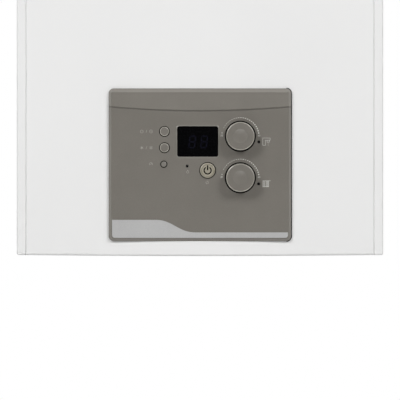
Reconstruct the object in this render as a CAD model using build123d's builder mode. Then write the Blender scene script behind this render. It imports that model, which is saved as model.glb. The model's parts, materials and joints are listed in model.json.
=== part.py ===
from build123d import *
import os
from math import sqrt

# A wall-hung combi boiler, in millimetres. X is to the right, Z is up and the front faces -Y.
# The wall is the plane y = 0, and the origin is midway between the two hanging holes on it.
# Sizes named "depth" are measured from the wall towards the front, so a depth d lies at y = -d.

os.makedirs("parts", exist_ok=True)

# ---------------------------------------------------------------- driving dimensions
case_width = 400.0
case_height = 700.0
case_depth = 285.0          # wall to the front flanges of the side panels
front_crown = 10.0          # how far the middle of the front panel stands forward of its sides
hang_drop = 35.0            # top of the case to the hanging holes
hang_spacing = 250.0
hang_hole = 9.0
sheet = 1.0                 # thickness of the coated steel sheets
seam = 0.6                  # open gap between the front panel and its neighbours
hexagon = 6                 # corners of a nut
side_flange = 9.0           # front face of each side panel
sheet_bend = 2.0            # outside radius of the folded sheets
foot_bow = 1.0              # how far the front panel's foot bows down in the middle

fascia_width = 198.5
fascia_height = 166.0
fascia_rise = 99.5          # bottom of the case to the middle of the fascia
fascia_corner = 5.0
fascia_proud = 3.0          # fascia face in front of the crowned panel's highest line
fascia_thickness = 12.0
fascia_bevel = 2.5

bay_height = 35.0           # connection bay under the bottom plate
pipe_pitch = 65.0           # spacing of the five connections
pipe_depth = 110.0          # wall to the connections
stub_length = 31.0          # pipe ends below the bottom plate
shoulder_step = 1.2         # a stub's shoulder in its hole, over the stub's own diameter
plate_sheet = 1.5

vessel_diameter = 320.0
exchanger_diameter = 210.0
pump_can = 84.0
knob_diameter = 31.4
run_gap = 0.3               # clearance between a moving piece and what guides it

# ---------------------------------------------------------------- places worked out from them
case_top = hang_drop
case_bottom = case_top - case_height
case_half = case_width / 2
inner_half = case_half - sheet
side_bottom = case_bottom + foot_bow
plate_top = case_bottom + bay_height + foot_bow
roof_under = case_top - 2 * sheet
tucked_half = case_half - sheet_bend     # a sheet that lies in a side panel's folded edge

panel_half = case_half - side_flange - seam
crown_radius = (panel_half**2 + front_crown**2) / (2 * front_crown)
crown_depth = case_depth + front_crown

fascia_z = case_bottom + fascia_rise
fascia_front = crown_depth + fascia_proud
fascia_back = fascia_front - fascia_thickness
fascia_half = fascia_width / 2
fascia_top = fascia_z + fascia_height / 2

on_base = (Align.CENTER, Align.CENTER, Align.MIN)


def crown_at(x, inset=0.0):
    """Depth of the crowned front panel at x, or of a face set that far behind it."""
    return sqrt((crown_radius - inset) ** 2 - x**2) - crown_radius + crown_depth


def to_front(x, depth, z):
    """A plane that faces the front, with its own x to the right and its own y up."""
    return Plane(origin=(x, -depth, z), x_dir=(1, 0, 0), z_dir=(0, -1, 0))


def to_right(x, depth, z):
    """A plane that faces right, with its own x towards the wall and its own y up."""
    return Plane(origin=(x, -depth, z), x_dir=(0, 1, 0), z_dir=(1, 0, 0))


def upward(x, depth, z):
    """A plane that faces up."""
    return Plane(origin=(x, -depth, z))


def downward(x, depth, z):
    """A plane that faces down."""
    return Plane(origin=(x, -depth, z), x_dir=(1, 0, 0), z_dir=(0, 0, -1))


def post(place, diameter, length, mode=Mode.ADD):
    """A round bar, or a round hole, that starts on a plane and runs along its normal."""
    with Locations(place):
        Cylinder(diameter / 2, length, align=on_base, mode=mode)


def block(place, width, height, length, mode=Mode.ADD):
    """A square bar, or a square hole, that starts on a plane and runs along its normal."""
    with Locations(place):
        Box(width, height, length, align=on_base, mode=mode)


def stub(x, depth, diameter):
    """A connection below the bottom plate: a shoulder through its hole, then the free end."""
    post(downward(x, depth, plate_top), diameter + shoulder_step, plate_sheet + sheet)
    post(downward(x, depth, plate_top), diameter, stub_length)


def bent_pipe(route, bend, outside, inside):
    """A pipe of straight runs joined by tangent bends, through (x, depth, z) points."""
    points = [(x, -depth, z) for x, depth, z in route]
    with BuildLine() as path:
        FilletPolyline(*points, radius=bend)
    start = Plane(origin=path.line @ 0, z_dir=path.line % 0)
    with BuildPart() as pipe:
        with BuildSketch(start):
            Circle(outside / 2)
            Circle(inside / 2, mode=Mode.SUBTRACT)
        sweep(path=path.line)
    return pipe.part


# ================================================================ casing
back_sheet = 1.5
back_recess = 0.6
back_border = 40.0
lower_hole_rise = 20.0
pad_width = 200.0
pad_height = 24.0
vessel_gap = 6.0            # wall to the vessel's flat rear face
vessel_drop = 15.0          # hanging holes to the top of the vessel's shell
vessel_z = -(vessel_drop + vessel_diameter / 2)

with BuildPart() as back_panel:
    with BuildSketch(Plane.XZ):
        with Locations((0, (roof_under + side_bottom + sheet_bend) / 2)):
            Rectangle(2 * inner_half, roof_under - side_bottom - sheet_bend)
    extrude(amount=back_sheet)
    # a shallow pressed field on the wall side, clear of the holes
    with BuildSketch(Plane.XZ):
        with Locations((0, (case_top + case_bottom) / 2 - back_border / 2)):
            RectangleRounded(case_width - 2 * back_border, case_height - 4 * back_border, back_border / 2)
    extrude(amount=back_recess, mode=Mode.SUBTRACT)
    # two pads carry the vessel's flat rear face
    for pad_z in (vessel_z - vessel_diameter / 4, vessel_z + vessel_diameter / 4):
        block(to_front(0, back_sheet, pad_z), pad_width, pad_height, vessel_gap - back_sheet)
    for x in (-hang_spacing / 2, hang_spacing / 2):
        post(to_front(x, 0, 0), hang_hole, back_sheet, Mode.SUBTRACT)
        post(to_front(x, 0, case_bottom + lower_hole_rise), hang_hole, back_sheet, Mode.SUBTRACT)
back_panel.part.label = "back_panel"
export_step(back_panel.part, "parts/back_panel.step")

# Each side panel is a folded tray: a side, a narrow front face, narrow edges at the top and the
# foot, and a return that runs back beside the front panel's own flange.
side_return = 35.0

with BuildPart() as right_side_panel:
    with Locations((case_half - side_flange, 0, side_bottom)):
        Box(
            side_flange, case_depth, case_top - side_bottom,
            align=(Align.MIN, Align.MAX, Align.MIN),
        )
    side_face = right_side_panel.faces().sort_by(Axis.X)[-1]
    front_face = right_side_panel.faces().sort_by(Axis.Y)[0]
    folded = side_face.edges().filter_by(Axis.Y) + front_face.edges().filter_by(Axis.X)
    folded += side_face.edges().filter_by(Axis.Z).sort_by(Axis.Y)[:1]
    fillet(folded, radius=sheet_bend)
    open_faces = [
        right_side_panel.faces().sort_by(Axis.X)[0],
        right_side_panel.faces().sort_by(Axis.Y)[-1],
    ]
    offset(amount=-sheet, openings=open_faces)
    with Locations((case_half - side_flange, -case_depth + sheet, side_bottom + sheet)):
        Box(
            sheet, side_return - sheet, roof_under - side_bottom - sheet,
            align=(Align.MIN, Align.MIN, Align.MIN),
        )
right_side_panel.part.label = "right_side_panel"
export_step(right_side_panel.part, "parts/right_side_panel.step")

with BuildPart() as left_side_panel:
    mirror(right_side_panel.part, about=Plane.YZ)
left_side_panel.part.label = "left_side_panel"
export_step(left_side_panel.part, "parts/left_side_panel.step")

# The top panel lies under the side panels' top edges and stops behind the front panel's flange.
panel_return = 18.0         # depth of the front panel's folded edge
roof_lip = 20.0
roof_front = case_depth - panel_return - 3 * seam
flue_depth = 147.0          # wall to the flue's axis
flue_bore = 57.0
collar_bore = 58.0
flue_pipe = 60.0
air_pipe = 100.0
screw_inset = 20.0
screw_shank = 4.0
roof_screws = [
    (x, depth)
    for x in (-inner_half + screw_inset, inner_half - screw_inset)
    for depth in (2 * screw_inset, roof_front - 2 * screw_inset)
]

with BuildPart() as top_panel:
    with Locations((0, 0, roof_under)):
        Box(2 * tucked_half, roof_front, sheet, align=(Align.CENTER, Align.MAX, Align.MIN))
    with Locations((0, -roof_front, roof_under)):
        Box(
            2 * (inner_half - side_flange - 2 * sheet), sheet, roof_lip,
            align=(Align.CENTER, Align.MIN, Align.MAX),
        )
    post(upward(0, flue_depth, roof_under), air_pipe, sheet, Mode.SUBTRACT)
    for x, depth in roof_screws:
        post(upward(x, depth, roof_under), screw_shank, sheet, Mode.SUBTRACT)
top_panel.part.label = "top_panel"
export_step(top_panel.part, "parts/top_panel.step")

screw_head = 8.0
screw_head_height = 2.4
screw_length = 8.0

with BuildPart() as case_screws:
    for x, depth in roof_screws:
        post(upward(x, depth, roof_under + sheet), screw_head, screw_head_height)
        post(downward(x, depth, roof_under + sheet), screw_shank, screw_length)
    heads = case_screws.faces().group_by(Axis.Z)[-1]
    fillet(heads.edges(), radius=screw_head_height / 2)
    for x, depth in roof_screws:
        block(
            upward(x, depth, roof_under + sheet + screw_head_height / 2),
            screw_head * 2 / 3, sheet, screw_head_height, Mode.SUBTRACT,
        )
case_screws.part.label = "case_screws"
export_step(case_screws.part, "parts/case_screws.step")

# The bottom plate carries the water groups, and the control box hangs on its front lip.
plate_lip = 26.0
box_depth = 57.0            # control box, front to back
box_front = fascia_back
box_back = box_front - box_depth
connections = [pipe_pitch * step for step in (-2, -1, 0, 1, 2)]
large_stub = 26.4
large_bore = 20.0
small_stub = 20.9
small_bore = 15.0
stub_gap = 1.0
trap_x = -160.0
trap_depth = 190.0
drain_stub = 21.5
gland_x = 165.0
gland_depth = 190.0
gland_thread = 16.0
discharge_x = -100.0
discharge_depth = 172.0
discharge_pipe = 15.0

with BuildPart() as bottom_plate:
    with Locations((0, -back_sheet, plate_top)):
        Box(
            2 * inner_half, box_back - back_sheet, plate_sheet,
            align=(Align.CENTER, Align.MAX, Align.MAX),
        )
    with Locations((0, -box_back, plate_top)):
        Box(
            2 * (inner_half - side_flange - 2 * sheet), plate_sheet, plate_lip,
            align=(Align.CENTER, Align.MIN, Align.MIN),
        )
    for x in connections:
        hole = downward(x, pipe_depth, plate_top)
        post(hole, large_stub + 2 * stub_gap, plate_sheet, Mode.SUBTRACT)
    post(
        downward(trap_x, trap_depth, plate_top), drain_stub + 2 * stub_gap, plate_sheet,
        Mode.SUBTRACT,
    )
    post(downward(gland_x, gland_depth, plate_top), gland_thread, plate_sheet, Mode.SUBTRACT)
    post(
        downward(discharge_x, discharge_depth, plate_top), discharge_pipe + 2 * stub_gap, plate_sheet,
        Mode.SUBTRACT,
    )
bottom_plate.part.label = "bottom_plate"
export_step(bottom_plate.part, "parts/bottom_plate.step")

# The front panel is a crowned tray with folded edges, and an aperture that clears the fascia.
panel_bend = 2.5
aperture_half = fascia_half + seam
aperture_rim = 6.0
panel_back = case_depth - panel_return


def crowned_plan(z, half, radius, foot):
    """Plan of the crowned panel at height z, from its folded edges to an arc of that radius."""
    side_depth = sqrt(radius**2 - half**2) - crown_radius + crown_depth
    top_depth = radius - crown_radius + crown_depth
    with BuildSketch(Plane.XY.offset(z)) as plan:
        with BuildLine():
            Line((half, -foot), (half, -side_depth))
            ThreePointArc((half, -side_depth), (0, -top_depth), (-half, -side_depth))
            Line((-half, -side_depth), (-half, -foot))
            Line((-half, -foot), (half, -foot))
        make_face()
    return plan.sketch


with BuildPart() as panel_hollow:
    extrude(
        crowned_plan(case_bottom + sheet + foot_bow, panel_half - sheet, crown_radius - sheet, panel_back),
        amount=case_height - 2 * sheet - foot_bow,
    )
    # the rim round the aperture stays out of the hollow
    with BuildSketch(Plane.XZ.offset(crown_depth - aperture_rim)):
        with Locations((0, fascia_z)):
            RectangleRounded(
                2 * (aperture_half + sheet), fascia_height + 2 * (seam + sheet),
                fascia_corner + seam + sheet,
            )
    extrude(amount=aperture_rim, mode=Mode.SUBTRACT)

with BuildPart() as front_panel:
    extrude(crowned_plan(case_bottom, panel_half, crown_radius, panel_back), amount=case_height)
    # the foot bows down in the middle
    with BuildSketch(Plane.XZ.offset(panel_back)):
        with BuildLine():
            Line((-panel_half, side_bottom), (-panel_half, case_top))
            Line((-panel_half, case_top), (panel_half, case_top))
            Line((panel_half, case_top), (panel_half, side_bottom))
            ThreePointArc((panel_half, side_bottom), (0, case_bottom), (-panel_half, side_bottom))
        make_face()
    extrude(amount=crown_depth, mode=Mode.INTERSECT)
    front_face = front_panel.faces().filter_by(GeomType.CYLINDER).sort_by(Axis.Y)[0]
    fillet(front_face.edges(), radius=panel_bend)
    add(panel_hollow.part, mode=Mode.SUBTRACT)
    with BuildSketch(Plane.XZ.offset(panel_back)):
        with Locations((0, fascia_z)):
            RectangleRounded(2 * aperture_half, fascia_height + 2 * seam, fascia_corner + seam)
    extrude(amount=crown_depth, mode=Mode.SUBTRACT)
front_panel.part.label = "front_panel"
export_step(front_panel.part, "parts/front_panel.step")

# Insulation is glued behind the front panel, over the combustion parts.
insulation_thickness = 8.0
insulation_half = 150.0
insulation_top = roof_under - roof_lip - 5 * seam
insulation_rise = 40.0      # above the fascia
insulation_foot = fascia_top + insulation_rise

with BuildPart() as front_panel_insulation:
    glue_line = sheet + run_gap / 2
    extrude(
        crowned_plan(insulation_foot, insulation_half, crown_radius - glue_line, panel_back - panel_return),
        amount=insulation_top - insulation_foot,
    )
    extrude(
        crowned_plan(
            insulation_foot, insulation_half, crown_radius - glue_line - insulation_thickness,
            panel_back - 2 * panel_return,
        ),
        amount=insulation_top - insulation_foot, mode=Mode.SUBTRACT,
    )
front_panel_insulation.part.label = "front_panel_insulation"
export_step(front_panel_insulation.part, "parts/front_panel_insulation.step")

stud_ball = 8.0
stud_neck = 5.0
stud_foot = 14.0
stud_inset = 13.0
stud_end = 60.0             # top or foot of the case to the nearest stud
stud_x = case_half - side_flange - stud_inset
stud_rises = (case_bottom + stud_end, case_top - stud_end)
stud_tip = 30.0             # front flange of the side panel to the ball's centre
clip_width = 15.0
clip_height = 24.0
clip_length = 14.0
stud_places = [(x, z) for x in (-stud_x, stud_x) for z in stud_rises]
clip_front = case_depth - stud_tip + clip_length / 2

with BuildPart() as panel_studs:
    for x, z in stud_places:
        foot_depth = crown_at(abs(x) + stud_foot / 2, sheet) - run_gap
        post(to_front(x, case_depth - stud_tip, z), stud_neck, foot_depth - case_depth + stud_tip)
        post(to_front(x, foot_depth - sheet_bend, z), stud_foot, sheet_bend)
        with Locations((x, -(case_depth - stud_tip), z)):
            Sphere(stud_ball / 2)
panel_studs.part.label = "panel_studs"
export_step(panel_studs.part, "parts/panel_studs.step")

# Each clip is a moulded socket on a side panel's return, open to the front.
with BuildPart() as panel_clips:
    for x, z in stud_places:
        outer = case_half - side_flange
        width = outer - stud_x + clip_width / 2
        middle = (outer - width / 2) * (1 if x > 0 else -1)
        block(to_front(middle, clip_front - clip_length, z), width, clip_height, clip_length)
        socket = to_front(x, clip_front - clip_length + sheet, z)
        post(socket, stud_ball + 2 * run_gap, clip_length, Mode.SUBTRACT)
    chamfer(panel_clips.edges().filter_by(Axis.Y).filter_by(GeomType.LINE), length=sheet)
panel_clips.part.label = "panel_clips"
export_step(panel_clips.part, "parts/panel_clips.step")

# ================================================================ combustion parts
# From the foot up: the control box, the gas valve, the fan with its venturi, the exchanger.
box_margin = 4.0            # control box beyond the fascia's top and foot
valve_clear = 8.5           # control box to the gas valve
valve_height = 48.0
valve_link = 10.0           # gas valve to the venturi's port
gas_port_drop = 42.0        # fan's axis to the end of the venturi's port
fan_drop = 80.0             # foot of the exchanger to the fan's axis
valve_top = fascia_top + box_margin + valve_clear + valve_height
fan_z = valve_top + valve_link + gas_port_drop

vessel_depth = 80.0
vessel_wall = 1.5
vessel_round = 26.0
vessel_rim = 4.0
vessel_front = vessel_gap + vessel_depth
vessel_port_x = 110.0
vessel_port = 14.0
vessel_port_bore = 10.0
vessel_port_length = 16.0
vessel_radius = vessel_diameter / 2
vessel_axis = vessel_gap + vessel_depth / 2
vessel_port_top = vessel_z - sqrt((vessel_radius - vessel_round) ** 2 - vessel_port_x**2)
vessel_port_end = vessel_z - sqrt(vessel_radius**2 - vessel_port_x**2) - vessel_port_length

with BuildPart() as expansion_vessel:
    post(to_front(0, vessel_gap, vessel_z), vessel_diameter, vessel_depth)
    fillet(expansion_vessel.edges().filter_by(GeomType.CIRCLE), radius=vessel_round)
    offset(amount=-vessel_wall, kind=Kind.INTERSECTION, mode=Mode.SUBTRACT)
    with BuildSketch(Plane.XZ.offset(vessel_axis - vessel_rim / 2)):
        with Locations((0, vessel_z)):
            Circle(vessel_radius + vessel_rim)
            Circle(vessel_radius - vessel_wall, mode=Mode.SUBTRACT)
    extrude(amount=vessel_rim)
    port = downward(vessel_port_x, vessel_axis, vessel_port_top)
    post(port, vessel_port, vessel_port_top - vessel_port_end)
    post(port, vessel_port_bore, vessel_port_top - vessel_port_end, Mode.SUBTRACT)
expansion_vessel.part.label = "expansion_vessel"
export_step(expansion_vessel.part, "parts/expansion_vessel.step")

# The cross bracket spans between the side panels in front of the vessel and carries the exchanger.
bracket_sheet = 2.0
bracket_height = 60.0
bracket_end = 16.0
exchanger_rear = vessel_front + vessel_rim + bracket_sheet
exchanger_radius = exchanger_diameter / 2
exchanger_z = fan_z + fan_drop + exchanger_radius
exchanger_wall = 1.2

with BuildPart() as cross_bracket:
    place = to_front(0, exchanger_rear - bracket_sheet, exchanger_z)
    block(place, 2 * inner_half, bracket_height, bracket_sheet)
    for side in (-1, 1):
        end = to_front(side * (inner_half - bracket_sheet / 2), exchanger_rear, exchanger_z)
        block(end, bracket_sheet, bracket_height, bracket_end)
cross_bracket.part.label = "cross_bracket"
export_step(cross_bracket.part, "parts/cross_bracket.step")

exchanger_length = 115.0
exchanger_front = exchanger_rear + exchanger_length
exchanger_flange = 3.0
exchanger_bead = 2.0
pipe_outside = 22.0
pipe_inside = 20.0
port_inset = 55.0           # outermost connection to the exchanger's port, across the case
port_x = connections[-1] - port_inset
port_length = 3.37          # shortest side of a port, from the shell's beads to its end
port_inner = port_x - pipe_outside / 2 - exchanger_wall
port_drop = sqrt((exchanger_radius + exchanger_bead) ** 2 - port_inner**2) + port_length
drain_x = -75.0
drain_length = 9.0          # drain below the exchanger's foot
drain_drop = exchanger_radius + drain_length
hose_outside = 20.0
hose_inside = 16.0
flue_port_rise = 12.0
flue_port_top = exchanger_z + exchanger_radius + flue_port_rise
port_z = exchanger_z - port_drop

with BuildPart() as heat_exchanger_shell:
    post(to_front(0, exchanger_rear, exchanger_z), exchanger_diameter, exchanger_length)
    for step in (1, 2, 3):
        bead = to_front(0, exchanger_rear + step * exchanger_length / 4, exchanger_z)
        post(bead, exchanger_diameter + 2 * exchanger_bead, 2 * exchanger_bead)
    flange = to_front(0, exchanger_front - exchanger_flange, exchanger_z)
    post(flange, exchanger_diameter + 4 * exchanger_bead, exchanger_flange)
    for x in (-port_x, port_x):
        post(downward(x, pipe_depth, exchanger_z), pipe_outside + 2 * exchanger_wall, port_drop)
    post(downward(drain_x, trap_depth, exchanger_z), hose_outside, drain_drop)
    post(upward(0, flue_depth, exchanger_z), flue_pipe, flue_port_top - exchanger_z)
    hollow = to_front(0, exchanger_rear + exchanger_wall, exchanger_z)
    post(hollow, exchanger_diameter - 2 * exchanger_wall, exchanger_length, Mode.SUBTRACT)
    for x in (-port_x, port_x):
        post(downward(x, pipe_depth, exchanger_z), pipe_inside, port_drop, Mode.SUBTRACT)
    post(downward(drain_x, trap_depth, exchanger_z), hose_inside, drain_drop, Mode.SUBTRACT)
    post(upward(0, flue_depth, exchanger_z), flue_bore, flue_port_top - exchanger_z, Mode.SUBTRACT)
heat_exchanger_shell.part.label = "heat_exchanger_shell"
export_step(heat_exchanger_shell.part, "parts/heat_exchanger_shell.step")

# The coil is a pack of flattened tube turns held apart by three combs.
coil_turns = 9
coil_pitch = 10.5
coil_tube = 7.5
coil_inside = 150.0
coil_outside = 192.0
coil_clear = 8.0
coil_start = exchanger_rear + exchanger_wall + coil_clear
comb_width = 7.0
comb_count = 3
top_angle = 90.0            # the first feature of a ring stands at its top
comb_radius = coil_outside / 2 + comb_width / 3

with BuildPart() as heat_exchanger_coil:
    for turn in range(coil_turns):
        with BuildSketch(Plane.XZ.offset(coil_start + turn * coil_pitch)):
            with Locations((0, exchanger_z)):
                Circle(coil_outside / 2)
                Circle(coil_inside / 2, mode=Mode.SUBTRACT)
        extrude(amount=coil_tube)
    with BuildSketch(Plane.XZ.offset(exchanger_rear + exchanger_wall)):
        with Locations((0, exchanger_z)):
            with PolarLocations(comb_radius, comb_count, start_angle=top_angle):
                Rectangle(comb_width, comb_width)
    extrude(amount=coil_turns * coil_pitch + coil_clear)
heat_exchanger_coil.part.label = "heat_exchanger_coil"
export_step(heat_exchanger_coil.part, "parts/heat_exchanger_coil.step")

door_diameter = exchanger_diameter + 4 * exchanger_bead
gasket_thickness = 2.0
gasket_width = 8.0
door_rear = exchanger_front + gasket_thickness
door_thickness = 8.0
door_front = door_rear + door_thickness
duct_outside = 44.0
duct_inside = 40.0
burner_diameter = 70.0
burner_length = 90.0
burner_wall = 1.0
nut_circle = 200.0
nut_across = 10.0
nut_height = 6.0
nut_count = 6
nut_start = 30.0            # angle of the first nut
electrode_x = 44.0
electrode_rise = 30.0
electrode_hole = 9.0

with BuildPart() as door_gasket:
    with BuildSketch(Plane.XZ.offset(exchanger_front)):
        with Locations((0, exchanger_z)):
            Circle(exchanger_radius)
            Circle(exchanger_radius - gasket_width, mode=Mode.SUBTRACT)
    extrude(amount=gasket_thickness)
door_gasket.part.label = "door_gasket"
export_step(door_gasket.part, "parts/door_gasket.step")

with BuildPart() as burner_door:
    post(to_front(0, door_rear, exchanger_z), door_diameter, door_thickness)
    fillet(burner_door.edges().group_by(Axis.Y)[0], radius=door_thickness / 4)
    # a shallow dished ring stiffens the door
    with BuildSketch(Plane.XZ.offset(door_front - door_thickness / 4)):
        with Locations((0, exchanger_z)):
            Circle(nut_circle / 2 - nut_across)
            Circle(burner_diameter / 2 + electrode_x - nut_across, mode=Mode.SUBTRACT)
    extrude(amount=door_thickness, mode=Mode.SUBTRACT)
    post(to_front(0, door_rear, exchanger_z), duct_inside, door_thickness, Mode.SUBTRACT)
    for side in (-1, 1):
        hole = to_front(side * electrode_x, door_rear, exchanger_z + electrode_rise)
        post(hole, electrode_hole, door_thickness, Mode.SUBTRACT)
burner_door.part.label = "burner_door"
export_step(burner_door.part, "parts/burner_door.step")

with BuildPart() as burner_tube:
    with Locations(Plane(origin=(0, -door_rear, exchanger_z), x_dir=(1, 0, 0), z_dir=(0, 1, 0))):
        Cylinder(burner_diameter / 2, burner_length, align=on_base)
        Cylinder(
            burner_diameter / 2 - burner_wall, burner_length - burner_wall, align=on_base,
            mode=Mode.SUBTRACT,
        )
burner_tube.part.label = "burner_tube"
export_step(burner_tube.part, "parts/burner_tube.step")

with BuildPart() as door_nuts:
    with BuildSketch(Plane.XZ.offset(door_front)):
        with Locations((0, exchanger_z)):
            with PolarLocations(nut_circle / 2, nut_count, start_angle=nut_start):
                RegularPolygon(nut_across / 2, hexagon, major_radius=False)
    extrude(amount=nut_height)
    chamfer(door_nuts.faces().group_by(Axis.Y)[0].edges(), length=nut_height / 6)
door_nuts.part.label = "door_nuts"
export_step(door_nuts.part, "parts/door_nuts.step")

electrode_rod = 3.0
electrode_length = 50.0
electrode_cap = 22.0

with BuildPart() as electrodes:
    for side in (-1, 1):
        foot = to_front(side * electrode_x, door_front, exchanger_z + electrode_rise)
        tip = to_front(side * electrode_x, door_front - electrode_length, exchanger_z + electrode_rise)
        inner = to_front(side * electrode_x, door_rear, exchanger_z + electrode_rise)
        block(foot, 2 * electrode_hole, electrode_cap, door_thickness / 4)
        post(inner, electrode_hole - 2 * run_gap, door_thickness + electrode_cap)
        post(tip, electrode_rod, electrode_length)
electrodes.part.label = "electrodes"
export_step(electrodes.part, "parts/electrodes.step")

# The air and gas duct rises from the fan and bends back into the middle of the burner door.
duct_reach = 32.0
duct_bend = 26.0
duct_flange = 72.0
duct_flange_thickness = 4.0
duct_foot_width = 50.0
duct_foot_depth = 46.0
duct_depth = door_front + duct_reach
fan_radius = 62.0
fan_outlet_rise = 6.0
fan_outlet_z = fan_z + fan_radius + fan_outlet_rise

with BuildPart() as air_gas_duct:
    add(
        bent_pipe(
            [(0, duct_depth, fan_outlet_z), (0, duct_depth, exchanger_z), (0, door_front, exchanger_z)],
            duct_bend, duct_outside, duct_inside,
        )
    )
    post(to_front(0, door_front, exchanger_z), duct_flange, duct_flange_thickness)
    post(to_front(0, door_front, exchanger_z), duct_inside, duct_flange_thickness, Mode.SUBTRACT)
    duct_foot = upward(0, duct_depth, fan_outlet_z)
    block(duct_foot, duct_foot_width, duct_foot_depth, duct_flange_thickness)
    post(upward(0, duct_depth, fan_outlet_z), duct_inside, duct_flange_thickness, Mode.SUBTRACT)
air_gas_duct.part.label = "air_gas_duct"
export_step(air_gas_duct.part, "parts/air_gas_duct.step")

# The fan turns about a left-to-right axis: motor on the left, mixture drawn in on the right.
fan_half = 25.0
fan_wall = 3.0
fan_setback = 40.0          # fan's axis behind the duct's
fan_depth = duct_depth - fan_setback
fan_eye = 46.0
shaft = 8.0
fan_hub = 20.0
wheel_radius = 50.0
wheel_width = 26.0
blade_count = 16
blade_depth = 14.0
blade_thickness = 1.6
blade_angle = 35.0
blade_inset = 1.0
wheel_gap = 5.0
wheel_plate = 2.0
shaft_over = 6.0            # shaft into the wheel's hub

with BuildPart() as fan_housing:
    post(to_right(-fan_half, fan_depth, fan_z), 2 * fan_radius, 2 * fan_half)
    block(upward(0, duct_depth, fan_z), 2 * fan_half, duct_outside, fan_outlet_z - fan_z)
    post(
        to_right(-fan_half + fan_wall, fan_depth, fan_z), 2 * (fan_radius - fan_wall),
        2 * (fan_half - fan_wall), Mode.SUBTRACT,
    )
    post(upward(0, duct_depth, fan_z), duct_inside, fan_outlet_z - fan_z, Mode.SUBTRACT)
    post(to_right(0, fan_depth, fan_z), fan_eye, fan_half, Mode.SUBTRACT)
    post(to_right(-fan_half, fan_depth, fan_z), fan_hub + 2 * stub_gap, fan_half, Mode.SUBTRACT)
fan_housing.part.label = "fan_housing"
export_step(fan_housing.part, "parts/fan_housing.step")

motor_can = 80.0
motor_length = 56.0
shaft_seat = 30.0
motor_round = 8.0
motor_plug = (24.0, 16.0, 12.0)
motor_plug_sink = 4.0

with BuildPart() as fan_impeller:
    wheel_left = -fan_half + fan_wall + wheel_gap
    post(to_right(wheel_left, fan_depth, fan_z), 2 * wheel_radius, wheel_plate)
    post(to_right(wheel_left, fan_depth, fan_z), fan_hub, wheel_width / 2)
    shaft_length = shaft_seat + fan_wall + shaft_over
    post(to_right(-fan_half - shaft_seat, fan_depth, fan_z), shaft, shaft_length)
    with BuildSketch(Plane.YZ.offset(wheel_left)):
        with Locations((-fan_depth, fan_z)):
            with PolarLocations(wheel_radius - blade_depth / 2 - blade_inset, blade_count):
                Rectangle(blade_depth, blade_thickness, rotation=blade_angle)
    extrude(amount=wheel_width)
fan_impeller.part.label = "fan_impeller"
export_step(fan_impeller.part, "parts/fan_impeller.step")

with BuildPart() as fan_motor:
    post(to_right(-fan_half - motor_length, fan_depth, fan_z), motor_can, motor_length)
    fillet(fan_motor.edges().group_by(Axis.X)[0], radius=motor_round)
    post(
        to_right(-fan_half - shaft_seat - run_gap, fan_depth, fan_z), shaft + 2 * run_gap,
        shaft_seat + run_gap, Mode.SUBTRACT,
    )
    # plug for the motor's wires
    plug_foot = fan_z + motor_can / 2 - motor_plug_sink
    block(upward(-fan_half - motor_length / 2, fan_depth, plug_foot), *motor_plug)
fan_motor.part.label = "fan_motor"
export_step(fan_motor.part, "parts/fan_motor.step")

# The venturi mixes air from the silencer with gas from the valve below it.
venturi_length = 52.0
venturi_outside = 58.0
venturi_flange = 72.0
venturi_flange_thickness = 5.0
venturi_throat = 30.0
venturi_mouth = 46.0
gas_port = 26.0
gas_port_root = 19.0        # where the port leaves the venturi, below its axis
gas_outside = 18.0
gas_inside = 16.0
venturi_right = fan_half + venturi_length
gas_x = fan_half + venturi_length / 2

with BuildPart() as venturi:
    with BuildSketch(Plane.XY.offset(fan_z)):
        with BuildLine():
            flange_right = fan_half + venturi_flange_thickness
            flank = [
                (fan_half, fan_eye / 2), (fan_half, venturi_flange / 2),
                (flange_right, venturi_flange / 2), (flange_right, venturi_outside / 2),
                (venturi_right, venturi_outside / 2), (venturi_right, venturi_mouth / 2),
                (gas_x, venturi_throat / 2), (fan_half, fan_eye / 2),
            ]
            Polyline(*[(x, radius - fan_depth) for x, radius in flank])
        make_face()
    revolve(axis=Axis((0, -fan_depth, fan_z), (1, 0, 0)))
    port_start = downward(gas_x, fan_depth, fan_z - gas_port_root)
    post(port_start, gas_port, gas_port_drop - gas_port_root)
    post(downward(gas_x, fan_depth, fan_z), gas_inside, gas_port_drop * 2, Mode.SUBTRACT)
venturi.part.label = "venturi"
export_step(venturi.part, "parts/venturi.step")

silencer_depth = 76.0
silencer_height = 290.0
silencer_wall = 2.5
silencer_round = 10.0
silencer_gap = 8.0          # silencer to the right side panel
silencer_door_gap = 20.0    # silencer to the burner door
silencer_right = inner_half - silencer_gap
silencer_left = door_diameter / 2 + silencer_door_gap
silencer_width = silencer_right - silencer_left
silencer_foot = fan_z - silencer_depth / 2

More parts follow.
